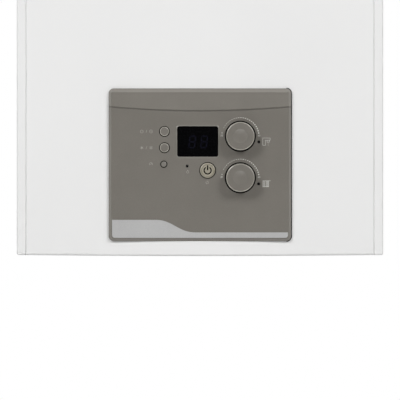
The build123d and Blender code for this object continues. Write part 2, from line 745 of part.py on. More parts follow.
with BuildPart() as air_silencer:
    centre = silencer_right - silencer_width / 2
    with BuildSketch(Plane.XY.offset(silencer_foot)):
        with Locations((centre, -fan_depth)):
            RectangleRounded(silencer_width, silencer_depth, silencer_round)
    extrude(amount=silencer_height)
    fillet(air_silencer.edges().group_by(Axis.Z)[0], radius=silencer_round / 2)
    with BuildSketch(Plane.XY.offset(silencer_foot + silencer_wall)):
        with Locations((centre, -fan_depth)):
            RectangleRounded(
                silencer_width - 2 * silencer_wall, silencer_depth - 2 * silencer_wall,
                silencer_round - silencer_wall,
            )
    extrude(amount=silencer_height, mode=Mode.SUBTRACT)
    for level in (1, 2, 3):
        with BuildSketch(Plane.XY.offset(silencer_foot + level * silencer_height / 4)):
            with Locations((centre, -fan_depth)):
                RectangleRounded(
                    silencer_width + silencer_wall, silencer_depth + silencer_wall, silencer_round
                )
                RectangleRounded(
                    silencer_width - silencer_wall, silencer_depth - silencer_wall, silencer_round,
                    mode=Mode.SUBTRACT,
                )
        extrude(amount=2 * silencer_wall)
    inlet_length = silencer_left + silencer_wall - venturi_right
    post(to_right(venturi_right, fan_depth, fan_z), venturi_mouth + 2 * silencer_wall, inlet_length)
    post(to_right(venturi_right, fan_depth, fan_z), venturi_mouth, inlet_length, Mode.SUBTRACT)
air_silencer.part.label = "air_silencer"
export_step(air_silencer.part, "parts/air_silencer.step")

valve_width = 50.0
valve_depth = 56.0
valve_chamfer = 6.0
valve_cap = 12.0            # cap over the setting screw
valve_cap_length = 6.0
coil_can = 26.0
coil_length = 18.0

with BuildPart() as gas_valve:
    block(downward(gas_x, fan_depth, valve_top), valve_width, valve_depth, valve_height)
    chamfer(gas_valve.edges().filter_by(Axis.Z), length=valve_chamfer)
    valve_front = fan_depth + valve_depth / 2
    for x in (gas_x - valve_width / 4, gas_x + valve_width / 4):
        post(to_front(x, valve_front, valve_top - valve_height / 3), coil_can, coil_length)
    setting = to_front(gas_x, valve_front, valve_top - valve_height * 5 / 6)
    post(setting, valve_cap, valve_cap_length)
    post(downward(gas_x, fan_depth, valve_top), gas_inside, valve_height, Mode.SUBTRACT)
gas_valve.part.label = "gas_valve"
export_step(gas_valve.part, "parts/gas_valve.step")

gas_bend = 24.0
gas_level = plate_top + 55.0
gas_climb = 20.0            # rise of the pipe's middle run, from the wall side to the valve
gas_collar = 34.0
collar_height = 8.0

with BuildPart() as gas_pipes:
    gas_route = [
        (0, pipe_depth, plate_top), (0, pipe_depth, gas_level),
        (gas_x, fan_depth, gas_level + gas_climb), (gas_x, fan_depth, valve_top - valve_height),
    ]
    add(bent_pipe(gas_route, gas_bend, gas_outside, gas_inside))
    post(upward(0, pipe_depth, plate_top), gas_collar, collar_height)
    stub(0, pipe_depth, large_stub)
    post(downward(0, pipe_depth, plate_top), large_bore, stub_length, Mode.SUBTRACT)
    post(upward(0, pipe_depth, plate_top), gas_inside, collar_height, Mode.SUBTRACT)
    post(upward(gas_x, fan_depth, valve_top), gas_port, valve_link)
    post(upward(gas_x, fan_depth, valve_top), gas_inside, valve_link, Mode.SUBTRACT)
gas_pipes.part.label = "gas_pipes"
export_step(gas_pipes.part, "parts/gas_pipes.step")

# ================================================================ flue
collar_rise = 30.0
collar_plate = 140.0
collar_plate_thickness = 3.0
collar_round = 12.0
duct_socket = 66.0          # socket at the foot of the flue duct
air_wall = 1.5
roof = roof_under + sheet
flue_joint_drop = 30.0
flue_joint = roof_under - flue_joint_drop
web_count = 3
web_height = 10.0
web_width = 3.0

with BuildPart() as flue_duct:
    duct_rise = flue_joint - flue_port_top
    post(upward(0, flue_depth, flue_port_top), flue_pipe, duct_rise)
    post(upward(0, flue_depth, flue_port_top), duct_socket, web_height)
    post(upward(0, flue_depth, flue_port_top), flue_bore, duct_rise, Mode.SUBTRACT)
flue_duct.part.label = "flue_duct"
export_step(flue_duct.part, "parts/flue_duct.step")

with BuildPart() as flue_collar:
    block(upward(0, flue_depth, roof), collar_plate, collar_plate, collar_plate_thickness)
    fillet(flue_collar.edges().filter_by(Axis.Z), radius=collar_round)
    post(upward(0, flue_depth, roof), air_pipe, collar_plate_thickness + collar_rise)
    post(upward(0, flue_depth, roof), air_pipe - 2 * air_wall, 2 * collar_rise, Mode.SUBTRACT)
    with BuildSketch(Plane.XY.offset(roof)):
        with Locations((0, -flue_depth)):
            with PolarLocations((collar_bore + air_pipe - air_wall) / 4, web_count, start_angle=top_angle):
                Rectangle((air_pipe - air_wall - collar_bore) / 2, web_width)
    extrude(amount=web_height)
    post(upward(0, flue_depth, flue_joint), flue_pipe, roof + collar_rise - flue_joint)
    post(upward(0, flue_depth, flue_joint), collar_bore, 4 * collar_rise, Mode.SUBTRACT)
flue_collar.part.label = "flue_collar"
export_step(flue_collar.part, "parts/flue_collar.step")

cap_diameter = 14.0
cap_height = 8.0
cap_sides = 8
cap_chamfer = 1.5
cap_inset = 12.0
cap_offset = collar_plate / 2 - cap_inset

with BuildPart() as flue_test_caps:
    with BuildSketch(Plane.XY.offset(roof + collar_plate_thickness)):
        cap_y = -flue_depth - cap_offset
        with Locations((-cap_offset, cap_y), (cap_offset, cap_y)):
            RegularPolygon(cap_diameter / 2, cap_sides)
    extrude(amount=cap_height)
    chamfer(flue_test_caps.faces().group_by(Axis.Z)[-1].edges(), length=cap_chamfer)
flue_test_caps.part.label = "flue_test_caps"
export_step(flue_test_caps.part, "parts/flue_test_caps.step")

# ================================================================ condensate
trap_body = 50.0
trap_wall = 2.0
trap_height = 150.0
trap_foot = 60.0
trap_foot_height = 4.0
trap_round = 8.0
trap_ring = 53.0            # stiffening rings round the trap's body
trap_rings = 4
trap_floor = 6.0
neck_root = 4.0             # how far the neck starts inside the body
trap_neck = 12.0
trap_top = plate_top + trap_height
hose_bend = 22.0
hose_drop = 16.0

with BuildPart() as condensate_trap:
    post(upward(trap_x, trap_depth, plate_top), trap_foot, trap_foot_height)
    post(upward(trap_x, trap_depth, plate_top), trap_body, trap_height)
    fillet(condensate_trap.edges().group_by(Axis.Z)[-1], radius=trap_round)
    for level in range(1, trap_rings + 1):
        ring_z = plate_top + level * trap_height / (trap_rings + 1)
        post(upward(trap_x, trap_depth, ring_z), trap_ring, trap_wall)
    post(upward(trap_x, trap_depth, trap_top - neck_root), hose_outside, trap_neck + neck_root)
    stub(trap_x, trap_depth, drain_stub)
    post(
        upward(trap_x, trap_depth, plate_top + trap_floor), trap_body - 2 * trap_wall,
        trap_height - trap_floor - trap_round, Mode.SUBTRACT,
    )
    through = downward(trap_x, trap_depth, trap_top + trap_neck)
    post(through, hose_inside, 2 * trap_height, Mode.SUBTRACT)
condensate_trap.part.label = "condensate_trap"
export_step(condensate_trap.part, "parts/condensate_trap.step")

with BuildPart() as condensate_hose:
    hose_start = exchanger_z - drain_drop
    hose_route = [
        (drain_x, trap_depth, hose_start), (drain_x, trap_depth, hose_start - hose_drop),
        (trap_x, trap_depth, hose_start - 3 * hose_drop), (trap_x, trap_depth, trap_top + trap_neck),
    ]
    add(bent_pipe(hose_route, hose_bend, hose_outside, hose_inside))
condensate_hose.part.label = "condensate_hose"
export_step(condensate_hose.part, "parts/condensate_hose.step")

# ================================================================ water side
group_rear = 66.0
group_front = 156.0
group_half = 50.0
group_height = 66.0
group_reach = 20.0          # flow group beyond the outermost connection
group_left = connections[0] - group_reach
group_top = plate_top + group_height
valve_offset = 4.0          # diverter valve beside the flow connection
valve_x = connections[0] + valve_offset
valve_tube = 46.0
valve_bore = 30.0
valve_tube_height = 32.0
valve_tube_top = group_top + valve_tube_height
flow_boss = 34.0
flow_boss_height = 20.0
group_corner = 12.0
group_edge = 5.0
group_floor = 8.0           # floor of the valve and pipe bores above the bottom plate

with BuildPart() as flow_group:
    group_foot = upward(group_left + group_half, (group_rear + group_front) / 2, plate_top)
    block(group_foot, 2 * group_half, group_front - group_rear, group_height)
    fillet(flow_group.edges().filter_by(Axis.Z), radius=group_corner)
    fillet(flow_group.faces().sort_by(Axis.Z)[-1].edges(), radius=group_edge)
    post(upward(valve_x, pipe_depth, plate_top), valve_tube, group_height + valve_tube_height)
    post(upward(-port_x, pipe_depth, plate_top), flow_boss, group_height + flow_boss_height)
    stub(connections[0], pipe_depth, large_stub)
    stub(connections[1], pipe_depth, small_stub)
    floor_z = plate_top + group_floor
    for x, bore in ((connections[0], large_bore), (connections[1], small_bore)):
        post(downward(x, pipe_depth, floor_z), bore, stub_length + group_floor, Mode.SUBTRACT)
    for x, bore in ((valve_x, valve_bore), (-port_x, pipe_inside)):
        post(upward(x, pipe_depth, floor_z), bore, valve_tube_top - plate_top, Mode.SUBTRACT)
flow_group.part.label = "flow_group"
export_step(flow_group.part, "parts/flow_group.step")

actuator_width = 52.0
actuator_height = 58.0
plunger_stem = 8.0
plunger_travel = 8.0
plunger_disc = 10.0
stem_over = 4.0             # stem past the top of its travel
actuator_neck = 10.0
actuator_round = 8.0
actuator_plug = (18.0, 14.0)
actuator_plug_rise = 8.0    # plug above the actuator's top

with BuildPart() as diverter_actuator:
    actuator_foot = valve_tube_top + actuator_neck
    post(upward(valve_x, pipe_depth, valve_tube_top), valve_tube, actuator_neck)
    block(upward(valve_x, pipe_depth, actuator_foot), actuator_width, actuator_width, actuator_height)
    upright_edges = diverter_actuator.edges().filter_by(Axis.Z).filter_by(GeomType.LINE)
    fillet(upright_edges, radius=actuator_round)
    post(
        upward(valve_x, pipe_depth, valve_tube_top), plunger_stem + 2 * run_gap, actuator_height / 2,
        Mode.SUBTRACT,
    )
    plug = upward(valve_x, pipe_depth + actuator_width / 4, actuator_foot)
    block(plug, *actuator_plug, actuator_height + actuator_plug_rise)
diverter_actuator.part.label = "diverter_actuator"
export_step(diverter_actuator.part, "parts/diverter_actuator.step")

with BuildPart() as diverter_plunger:
    for level in (group_height / 3, group_height):
        post(upward(valve_x, pipe_depth, plate_top + level), valve_bore - 2 * run_gap, plunger_disc)
    stem_length = group_height * 2 / 3 + valve_tube_height + plunger_travel + stem_over
    post(upward(valve_x, pipe_depth, plate_top + group_height / 3), plunger_stem, stem_length)
diverter_plunger.part.label = "diverter_plunger"
export_step(diverter_plunger.part, "parts/diverter_plunger.step")

relief_x = discharge_x
relief_rise = 34.0          # relief valve above the bottom plate
relief_z = plate_top + relief_rise
relief_body = 26.0
relief_length = 36.0
relief_knob = 28.0
relief_knob_length = 20.0
relief_stem = 8.0
relief_stem_length = 15.0
relief_seat = 16.0          # depth of the stem's hole
relief_edge = 2.0
grip_count = 8
grip_radius = 3.0
grip_offset = 1.0           # centres of the grip's flutes outside the knob
stem_root = 1.0             # how far a stem starts inside its knob or handle
relief_tip = group_front + relief_length

with BuildPart() as relief_valve:
    post(to_front(relief_x, group_front, relief_z), relief_body, relief_length)
    fillet(relief_valve.edges().group_by(Axis.Y)[0], radius=relief_edge)
    post(downward(relief_x, discharge_depth, relief_z), discharge_pipe, relief_z - plate_top)
    stub(relief_x, discharge_depth, discharge_pipe)
    post(
        downward(relief_x, discharge_depth, relief_z), discharge_pipe - 2 * trap_wall,
        relief_z - plate_top + stub_length, Mode.SUBTRACT,
    )
    seat = to_front(relief_x, relief_tip - relief_seat, relief_z)
    post(seat, relief_stem + 2 * run_gap, relief_seat, Mode.SUBTRACT)
relief_valve.part.label = "relief_valve"
export_step(relief_valve.part, "parts/relief_valve.step")

with BuildPart() as relief_valve_knob:
    post(to_front(relief_x, relief_tip + run_gap, relief_z), relief_knob, relief_knob_length)
    fillet(relief_valve_knob.edges().group_by(Axis.Y)[0], radius=relief_edge)
    with BuildSketch(Plane.XZ.offset(relief_tip + run_gap)):
        with Locations((relief_x, relief_z)):
            with PolarLocations(relief_knob / 2 + grip_offset, grip_count):
                Circle(grip_radius)
    extrude(amount=relief_knob_length, mode=Mode.SUBTRACT)
    stem_start = to_front(relief_x, relief_tip - relief_stem_length, relief_z)
    post(stem_start, relief_stem, relief_stem_length + run_gap + stem_root)
relief_valve_knob.part.label = "relief_valve_knob"
export_step(relief_valve_knob.part, "parts/relief_valve_knob.step")

sensor_inset = 16.0
sensor_setback = 18.0
sensor_nut = 11.0           # centre to corner
sensor_nut_height = 10.0
sensor_body = 16.0
sensor_body_height = 34.0
sensor_plug = (14.0, 20.0, 14.0)
sensor_plug_rise = 30.0
sensor_x = group_left + 2 * group_half - sensor_inset
sensor_depth = group_front - sensor_setback

with BuildPart() as pressure_sensor:
    with BuildSketch(Plane.XY.offset(group_top)):
        with Locations((sensor_x, -sensor_depth)):
            RegularPolygon(sensor_nut, hexagon)
    extrude(amount=sensor_nut_height)
    post(upward(sensor_x, sensor_depth, group_top), sensor_body, sensor_body_height)
    block(upward(sensor_x, sensor_depth, group_top + sensor_plug_rise), *sensor_plug)
pressure_sensor.part.label = "pressure_sensor"
export_step(pressure_sensor.part, "parts/pressure_sensor.step")

# The return group holds the pump's volute, the cold inlet with its flow turbine, and the filling tap.
pump_x = connections[4]
pump_rise = 58.0            # pump's axis above the bottom plate
pump_z = plate_top + pump_rise
volute = 104.0
return_length = 66.0        # return group, front to back
volute_front = group_rear + return_length
volute_length = 48.0
chamber = 80.0
chamber_length = 24.0
pump_boss = 34.0
pump_boss_rise = 12.0       # boss above the volute
pump_boss_top = pump_z + volute / 2 + pump_boss_rise
base_left = 18.0            # base beyond the cold inlet
base_right = 42.0           # base beyond the pump's axis
return_left = connections[3] - base_left
return_right = connections[4] + base_right
base_height = 30.0
base_corner = 8.0
inlet_x = connections[3]
inlet_boss = 34.0
inlet_bore = 22.0
inlet_height = 62.0
inlet_cap = 6.0             # closed top of the inlet's boss
tap_offset = 4.0
tap_x = inlet_x + tap_offset
tap_z = plate_top + base_height / 2
tap_body = 22.0
tap_length = 24.0
tap_stem = 8.0
tap_stem_length = 15.0
tap_seat = 16.0
tap_tip = volute_front + tap_length
expansion_setback = 9.0
expansion_depth = group_rear + expansion_setback
expansion_pipe = 12.0
expansion_bore = 10.0

with BuildPart() as return_group:
    base_foot = upward((return_left + return_right) / 2, (group_rear + volute_front) / 2, plate_top)
    block(base_foot, return_right - return_left, return_length, base_height)
    fillet(return_group.edges().filter_by(Axis.Z), radius=base_corner)
    post(to_front(pump_x, volute_front - volute_length, pump_z), volute, volute_length)
    post(upward(pump_x, pipe_depth, pump_z), pump_boss, pump_boss_top - pump_z)
    post(upward(inlet_x, pipe_depth, plate_top), inlet_boss, inlet_height)
    post(to_front(tap_x, volute_front, tap_z), tap_body, tap_length)
    stub(pump_x, pipe_depth, large_stub)
    stub(inlet_x, pipe_depth, small_stub)
    post(to_front(pump_x, volute_front - chamber_length, pump_z), chamber, chamber_length, Mode.SUBTRACT)
    post(upward(pump_x, pipe_depth, pump_z), pipe_inside, volute, Mode.SUBTRACT)
    post(downward(pump_x, pipe_depth, pump_z), large_bore, volute, Mode.SUBTRACT)
    inlet_roof = downward(inlet_x, pipe_depth, plate_top + inlet_height - inlet_cap)
    post(inlet_roof, small_bore, volute + stub_length, Mode.SUBTRACT)
    post(inlet_roof, inlet_bore, inlet_height / 2, Mode.SUBTRACT)
    seat = to_front(tap_x, tap_tip - tap_seat, tap_z)
    post(seat, tap_stem + 2 * run_gap, tap_seat, Mode.SUBTRACT)
return_group.part.label = "return_group"
export_step(return_group.part, "parts/return_group.step")

turbine_top = plate_top + inlet_height - inlet_cap - run_gap
turbine_length = 16.0
turbine_drop = 4.0
turbine_hub = 7.0
turbine_blades = 6
turbine_blade = 1.2

with BuildPart() as flow_turbine:
    post(downward(inlet_x, pipe_depth, turbine_top), turbine_hub, inlet_height / 2 - 2 * run_gap)
    with BuildSketch(Plane.XY.offset(turbine_top - turbine_drop)):
        with Locations((inlet_x, -pipe_depth)):
            with PolarLocations(inlet_bore / 4, turbine_blades):
                Rectangle(inlet_bore / 2 - 2 * run_gap, turbine_blade)
    extrude(amount=-turbine_length)
flow_turbine.part.label = "flow_turbine"
export_step(flow_turbine.part, "parts/flow_turbine.step")

tap_handle_length = 30.0
tap_handle_width = 10.0
tap_handle_thickness = 8.0
tap_handle_round = 3.0

with BuildPart() as filling_tap_handle:
    post(to_front(tap_x, tap_tip + run_gap, tap_z), tap_body, tap_handle_thickness)
    lever = to_front(tap_x - tap_handle_length / 2, tap_tip + run_gap, tap_z)
    block(lever, tap_handle_length, tap_handle_width, tap_handle_thickness)
    corners = filling_tap_handle.edges().filter_by(Axis.Y).filter_by(GeomType.LINE)
    fillet(corners.sort_by(Axis.X)[:2], radius=tap_handle_round)
    stem_start = to_front(tap_x, tap_tip - tap_stem_length, tap_z)
    post(stem_start, tap_stem, tap_stem_length + run_gap + stem_root)
filling_tap_handle.part.label = "filling_tap_handle"
export_step(filling_tap_handle.part, "parts/filling_tap_handle.step")

pump_flange = 10.0
pump_length = 52.0
pump_box = 88.0
pump_box_depth = 16.0
pump_wheel = 74.0
pump_wheel_length = 14.0
pump_shaft = 10.0
pump_seat = 30.0
pump_box_corner = 8.0
pump_box_edge = 2.0
impeller_gap = 5.0          # volute's rear wall to the impeller
impeller_disc = 2.0
vane_count = 7
vane_length = 27.0
vane_thickness = 2.0
vane_angle = 40.0
vane_circle = 22.5

with BuildPart() as pump_motor:
    post(to_front(pump_x, volute_front, pump_z), volute, pump_flange)
    post(to_front(pump_x, volute_front, pump_z), pump_can, pump_flange + pump_length)
    box_place = to_front(pump_x, volute_front + pump_flange + pump_length, pump_z)
    block(box_place, pump_box, pump_box, pump_box_depth)
    fillet(pump_motor.edges().filter_by(Axis.Y).filter_by(GeomType.LINE), radius=pump_box_corner)
    fillet(pump_motor.faces().sort_by(Axis.Y)[0].edges(), radius=pump_box_edge)
    seat = to_front(pump_x, volute_front, pump_z)
    post(seat, pump_shaft + 2 * run_gap, pump_seat + run_gap, Mode.SUBTRACT)
pump_motor.part.label = "pump_motor"
export_step(pump_motor.part, "parts/pump_motor.step")

with BuildPart() as pump_impeller:
    wheel_back = volute_front - chamber_length + impeller_gap
    for disc_back in (wheel_back, wheel_back + pump_wheel_length - impeller_disc):
        post(to_front(pump_x, disc_back, pump_z), pump_wheel, impeller_disc)
    with BuildSketch(Plane.XZ.offset(wheel_back)):
        with Locations((pump_x, pump_z)):
            with PolarLocations(vane_circle, vane_count):
                Rectangle(vane_length, vane_thickness, rotation=vane_angle)
    extrude(amount=pump_wheel_length)
    post(to_front(pump_x, wheel_back, pump_z), pump_shaft, volute_front + pump_seat - wheel_back)
pump_impeller.part.label = "pump_impeller"
export_step(pump_impeller.part, "parts/pump_impeller.step")

exchange_left_inset = 30.0
exchange_right_inset = 34.0
exchange_left = connections[0] + exchange_left_inset
exchange_right = connections[4] - exchange_right_inset
exchange_rear = 14.0
exchange_rise = 10.0
exchange_foot = plate_top + exchange_rise
exchange_height = 74.0
exchange_corner = 14.0
exchange_core_inset = 1.5   # core inside the plates' outline
plate_count = 20
plate_gap = 0.8

with BuildPart() as plate_heat_exchanger:
    middle = (exchange_left + exchange_right) / 2
    span = exchange_right - exchange_left
    pitch = (group_rear - exchange_rear) / plate_count
    centre_z = exchange_foot + exchange_height / 2
    core = 2 * exchange_core_inset
    block(
        to_front(middle, exchange_rear, centre_z), span - core, exchange_height - core,
        group_rear - exchange_rear,
    )
    for layer in range(plate_count):
        with BuildSketch(Plane.XZ.offset(exchange_rear + layer * pitch)):
            with Locations((middle, centre_z)):
                RectangleRounded(span, exchange_height, exchange_corner)
        extrude(amount=pitch - plate_gap)
    corners = plate_heat_exchanger.edges().filter_by(Axis.Y).filter_by(GeomType.LINE)
    chamfer(corners, length=plate_gap)
plate_heat_exchanger.part.label = "plate_heat_exchanger"
export_step(plate_heat_exchanger.part, "parts/plate_heat_exchanger.step")

# Copper pipes: flow down to the flow group, return up from the pump, and the vessel's own pipe.
union_nut = 30.0
union_height = 12.0
return_bend = 40.0
return_rise = 80.0          # straight run above the pump's boss
return_drop = 70.0          # straight run below the exchanger's port
expansion_bend = 30.0
expansion_high = 60.0       # ends of the slanted run, above the pump's axis
expansion_low = 20.0

with BuildPart() as water_pipes:
    flow_top = group_top + flow_boss_height
    post(upward(-port_x, pipe_depth, flow_top), pipe_outside, port_z - flow_top)
    post(upward(-port_x, pipe_depth, flow_top), union_nut, union_height)
    post(upward(-port_x, pipe_depth, flow_top), pipe_inside, port_z - flow_top, Mode.SUBTRACT)
    return_route = [
        (pump_x, pipe_depth, pump_boss_top), (pump_x, pipe_depth, pump_boss_top + return_rise),
        (port_x, pipe_depth, port_z - return_drop), (port_x, pipe_depth, port_z),
    ]
    add(bent_pipe(return_route, return_bend, pipe_outside, pipe_inside))
    expansion_route = [
        (vessel_port_x, vessel_axis, vessel_port_end),
        (vessel_port_x, vessel_axis, pump_z + expansion_high),
        (vessel_port_x, expansion_depth, pump_z + expansion_low),
        (vessel_port_x, expansion_depth, plate_top + base_height),
    ]
    add(bent_pipe(expansion_route, expansion_bend, expansion_pipe, expansion_bore))
water_pipes.part.label = "water_pipes"
export_step(water_pipes.part, "parts/water_pipes.step")

gland_above = 6.0           # thread above the bottom plate
gland_thread_length = 12.0
gland_nut = 11.0            # centre to corner
gland_nut_height = 5.0
gland_body = 22.0
gland_body_length = 16.0
gland_round = 5.0
gland_bore = 8.0

with BuildPart() as cable_gland:
    gland_top = downward(gland_x, gland_depth, plate_top + gland_above)
    post(gland_top, gland_thread, gland_thread_length)
    with BuildSketch(Plane.XY.offset(plate_top)):
        with Locations((gland_x, -gland_depth)):
            RegularPolygon(gland_nut, hexagon)
    extrude(amount=gland_nut_height)
    post(downward(gland_x, gland_depth, plate_top - plate_sheet), gland_body, gland_body_length)
    fillet(cable_gland.edges().group_by(Axis.Z)[0], radius=gland_round)
    post(gland_top, gland_bore, 2 * gland_body_length, Mode.SUBTRACT)
cable_gland.part.label = "cable_gland"
export_step(cable_gland.part, "parts/cable_gland.step")

# ================================================================ control box and fascia
box_wall = 2.0
box_wings = 26.0            # control box beyond each side of the fascia
box_half = fascia_half + box_wings
box_corner = 5.0
box_edge = 1.5
box_height = fascia_height + 2 * box_margin
fascia_wall = 3.0
fascia_plate = 4.5
fascia_land = 12.0          # border of the fascia that lies on the control box
plate_rear = fascia_front - fascia_plate
board_front = box_front - box_wall
board_thickness = 1.6
board_border = 6.0
board_post = 10.0
post_diameter = 7.0
main_board_width = 190.0
main_board_height = 120.0
post_places = [
    (x, fascia_z + z)
    for x in (-main_board_width / 2 + post_diameter, main_board_width / 2 - post_diameter)
    for z in (-main_board_height / 2 + post_diameter, main_board_height / 2 - post_diameter)
]

with BuildPart() as control_box:
    block(to_front(0, box_back, fascia_z), 2 * box_half, box_height, box_depth)
    fillet(control_box.edges().filter_by(Axis.Y), radius=box_corner)
    fillet(control_box.faces().sort_by(Axis.Y)[-1].edges(), radius=box_edge)
    block(
        to_front(0, box_back + box_wall, fascia_z), 2 * (box_half - box_wall), box_height - 2 * box_wall,
        box_depth - 2 * box_wall, Mode.SUBTRACT,
    )
    block(
        to_front(0, box_back + box_wall, fascia_z), fascia_width - 2 * fascia_land,
        fascia_height - 2 * fascia_land, box_depth, Mode.SUBTRACT,
    )
    for x, z in post_places:
        post(to_front(x, box_back + box_wall, z), post_diameter, board_post)
control_box.part.label = "control_box"
export_step(control_box.part, "parts/control_box.step")

# Places on the fascia: to the right of its middle, and up from the controls' own level.
control_drop = 83.0         # top of the fascia to that level
control_z = fascia_top - control_drop
knob_places = {"hot_water_knob": (43.9, 31.0), "heating_knob": (43.9, -14.2)}
button_places = {"upper_button": (-38.7, 36.3), "lower_button": (-38.7, 18.5)}
power_place = (8.3, -6.2)
lens_place = (-39.4, 0.6)
led_places = [(64.0, 24.8), (63.8, -20.8), (-14.0, -1.4)]
window_place = (-2.5, 25.3)
header_height = 19.8        # header at its two ends
seam_sag = 4.7              # the seam's middle below its ends
seam_end_rise = fascia_height / 2 - header_height
seam_middle_rise = seam_end_rise - seam_sag
header_gap = 0.8
seam_chamfer = 0.7
top_bevel = 4.0             # height of the longer bevel along the fascia's top
knob_gap = 1.3
knob_well = knob_diameter + 2 * knob_gap
well_depth = 3.2
knob_shaft = 6.0
button_cap = 9.8
button_hole = button_cap + 2.0
power_cap = 16.4
power_hole = power_cap + 1.8
lens_cap = 6.0
lens_hole = lens_cap + 2.0
window_gap = 0.2
led_pipe = 2.9
led_hole = led_pipe + window_gap
window_width = 44.5
window_height = 33.1
window_corner = 2.0
window_thickness = 1.5
window_proud = 0.3
window_ledge = 2.5


def on_fascia(place, depth):
    """A plane that faces the front at a place on the fascia."""
    return to_front(place[0], depth, control_z + place[1])


def header_zone(gap):
    """The part of the fascia's outline above its curved seam, raised by a gap."""
    reach = fascia_half + seam
    with BuildSketch(Plane.XZ.offset(fascia_back - seam)) as zone:
        with BuildLine():
            ends = fascia_z + seam_end_rise + gap
            ThreePointArc((-reach, ends), (0, fascia_z + seam_middle_rise + gap), (reach, ends))
            Line((reach, ends), (reach, fascia_top + seam))
            Line((reach, fascia_top + seam), (-reach, fascia_top + seam))
            Line((-reach, fascia_top + seam), (-reach, ends))
        make_face()
    return zone.sketch


with BuildPart() as fascia_blank:
    with BuildSketch(Plane.XZ.offset(fascia_back)):
        with Locations((0, fascia_z)):
            RectangleRounded(fascia_width, fascia_height, fascia_corner)
    extrude(amount=fascia_thickness)
    chamfer(fascia_blank.faces().sort_by(Axis.Y)[0].edges(), length=fascia_bevel)
    with BuildSketch(Plane.YZ.offset(-fascia_half)):
        with BuildLine():
            Polyline(
                (-fascia_front, fascia_top - top_bevel), (-fascia_front, fascia_top),
                (fascia_bevel - fascia_front, fascia_top), close=True,
            )
        make_face()
    extrude(amount=fascia_width, mode=Mode.SUBTRACT)
    with BuildSketch(Plane.XZ.offset(fascia_back)):
        with Locations((0, fascia_z)):
            RectangleRounded(
                fascia_width - 2 * fascia_wall, fascia_height - 2 * fascia_wall, fascia_corner - fascia_wall
            )
    extrude(amount=fascia_thickness - fascia_plate, mode=Mode.SUBTRACT)

with BuildPart() as header_trim:
    add(fascia_blank.part)
    extrude(header_zone(header_gap / 2), amount=2 * fascia_thickness, mode=Mode.INTERSECT)
    lip = header_trim.faces().sort_by(Axis.Y)[0].edges().sort_by(Axis.Z)[0]
    chamfer(lip, length=seam_chamfer)
header_trim.part.label = "header_trim"
export_step(header_trim.part, "parts/header_trim.step")

with BuildPart() as fascia:
    add(fascia_blank.part)
    extrude(header_zone(-header_gap / 2), amount=2 * fascia_thickness, mode=Mode.SUBTRACT)
    lip = fascia.faces().sort_by(Axis.Y)[0].edges().sort_by(Axis.Z)[-1]
    chamfer(lip, length=seam_chamfer)
    for place in knob_places.values():
        post(on_fascia(place, fascia_front - well_depth), knob_well, fascia_plate, Mode.SUBTRACT)
        post(on_fascia(place, plate_rear), knob_shaft + 2 * run_gap, fascia_plate, Mode.SUBTRACT)
    for place in button_places.values():
        post(on_fascia(place, plate_rear), button_hole, fascia_plate, Mode.SUBTRACT)
    post(on_fascia(power_place, plate_rear), power_hole, fascia_plate, Mode.SUBTRACT)
    post(on_fascia(lens_place, plate_rear), lens_hole, fascia_plate, Mode.SUBTRACT)
    for place in led_places:
        post(on_fascia(place, plate_rear), led_hole, fascia_plate, Mode.SUBTRACT)
    with BuildSketch(Plane.XZ.offset(fascia_front + window_proud - window_thickness)):
        with Locations((window_place[0], control_z + window_place[1])):
            RectangleRounded(
                window_width + 2 * window_gap, window_height + 2 * window_gap, window_corner + window_gap
            )
    extrude(amount=window_thickness, mode=Mode.SUBTRACT)
    block(
        on_fascia(window_place, plate_rear), window_width - 2 * window_ledge,
        window_height - 2 * window_ledge, fascia_plate, Mode.SUBTRACT,
    )
fascia.part.label = "fascia"
export_step(fascia.part, "parts/fascia.step")

with BuildPart() as display_window:
    with BuildSketch(Plane.XZ.offset(fascia_front + window_proud - window_thickness)):
        with Locations((window_place[0], control_z + window_place[1])):
            RectangleRounded(window_width, window_height, window_corner)
    extrude(amount=window_thickness)
    fillet(display_window.faces().sort_by(Axis.Y)[0].edges(), radius=window_proud)
display_window.part.label = "display_window"
export_step(display_window.part, "parts/display_window.step")

with BuildPart() as display_module:
    module_depth = plate_rear - board_front - run_gap
    block(on_fascia(window_place, board_front), window_width, window_height, module_depth)
display_module.part.label = "display_module"
export_step(display_module.part, "parts/display_module.step")

transformer = (44.0, 36.0, 26.0)
relay = (19.0, 16.0, 15.0)
relay_pitch = 26.0
pot_width = 14.0
pot_depth = 7.0
pot_bush = 9.0
switch_width = 8.0
switch_depth = 5.0
button_travel = 1.2

with BuildPart() as circuit_boards:
    display_width = fascia_width - 2 * fascia_land + 2 * board_border
    display_height = fascia_height - 2 * fascia_land + 2 * board_border
    display_board = to_front(0, board_front - board_thickness, fascia_z)
    block(display_board, display_width, display_height, board_thickness)
    main_rear = box_back + box_wall + board_post
    main_front = main_rear + board_thickness
    block(to_front(0, main_rear, fascia_z), main_board_width, main_board_height, board_thickness)
    block(to_front(-main_board_width / 4, main_front, fascia_z), *transformer)
    for step in (0, 1, 2):
        relay_x = main_board_width / 8 + step * relay_pitch
        block(to_front(relay_x, main_front, fascia_z - relay_pitch), *relay)
    # the display board carries a potentiometer behind each knob and a switch behind each button
    for place in knob_places.values():
        block(on_fascia(place, board_front), pot_width, pot_width, pot_depth)
        post(on_fascia(place, board_front), pot_bush, plate_rear - board_front - sheet)
        post(
            on_fascia(place, board_front + sheet), knob_shaft + 2 * run_gap, fascia_thickness, Mode.SUBTRACT
        )
    for place in (*button_places.values(), power_place):
        block(on_fascia(place, board_front), switch_width, switch_width, switch_depth)
circuit_boards.part.label = "circuit_boards"
export_step(circuit_boards.part, "parts/circuit_boards.step")

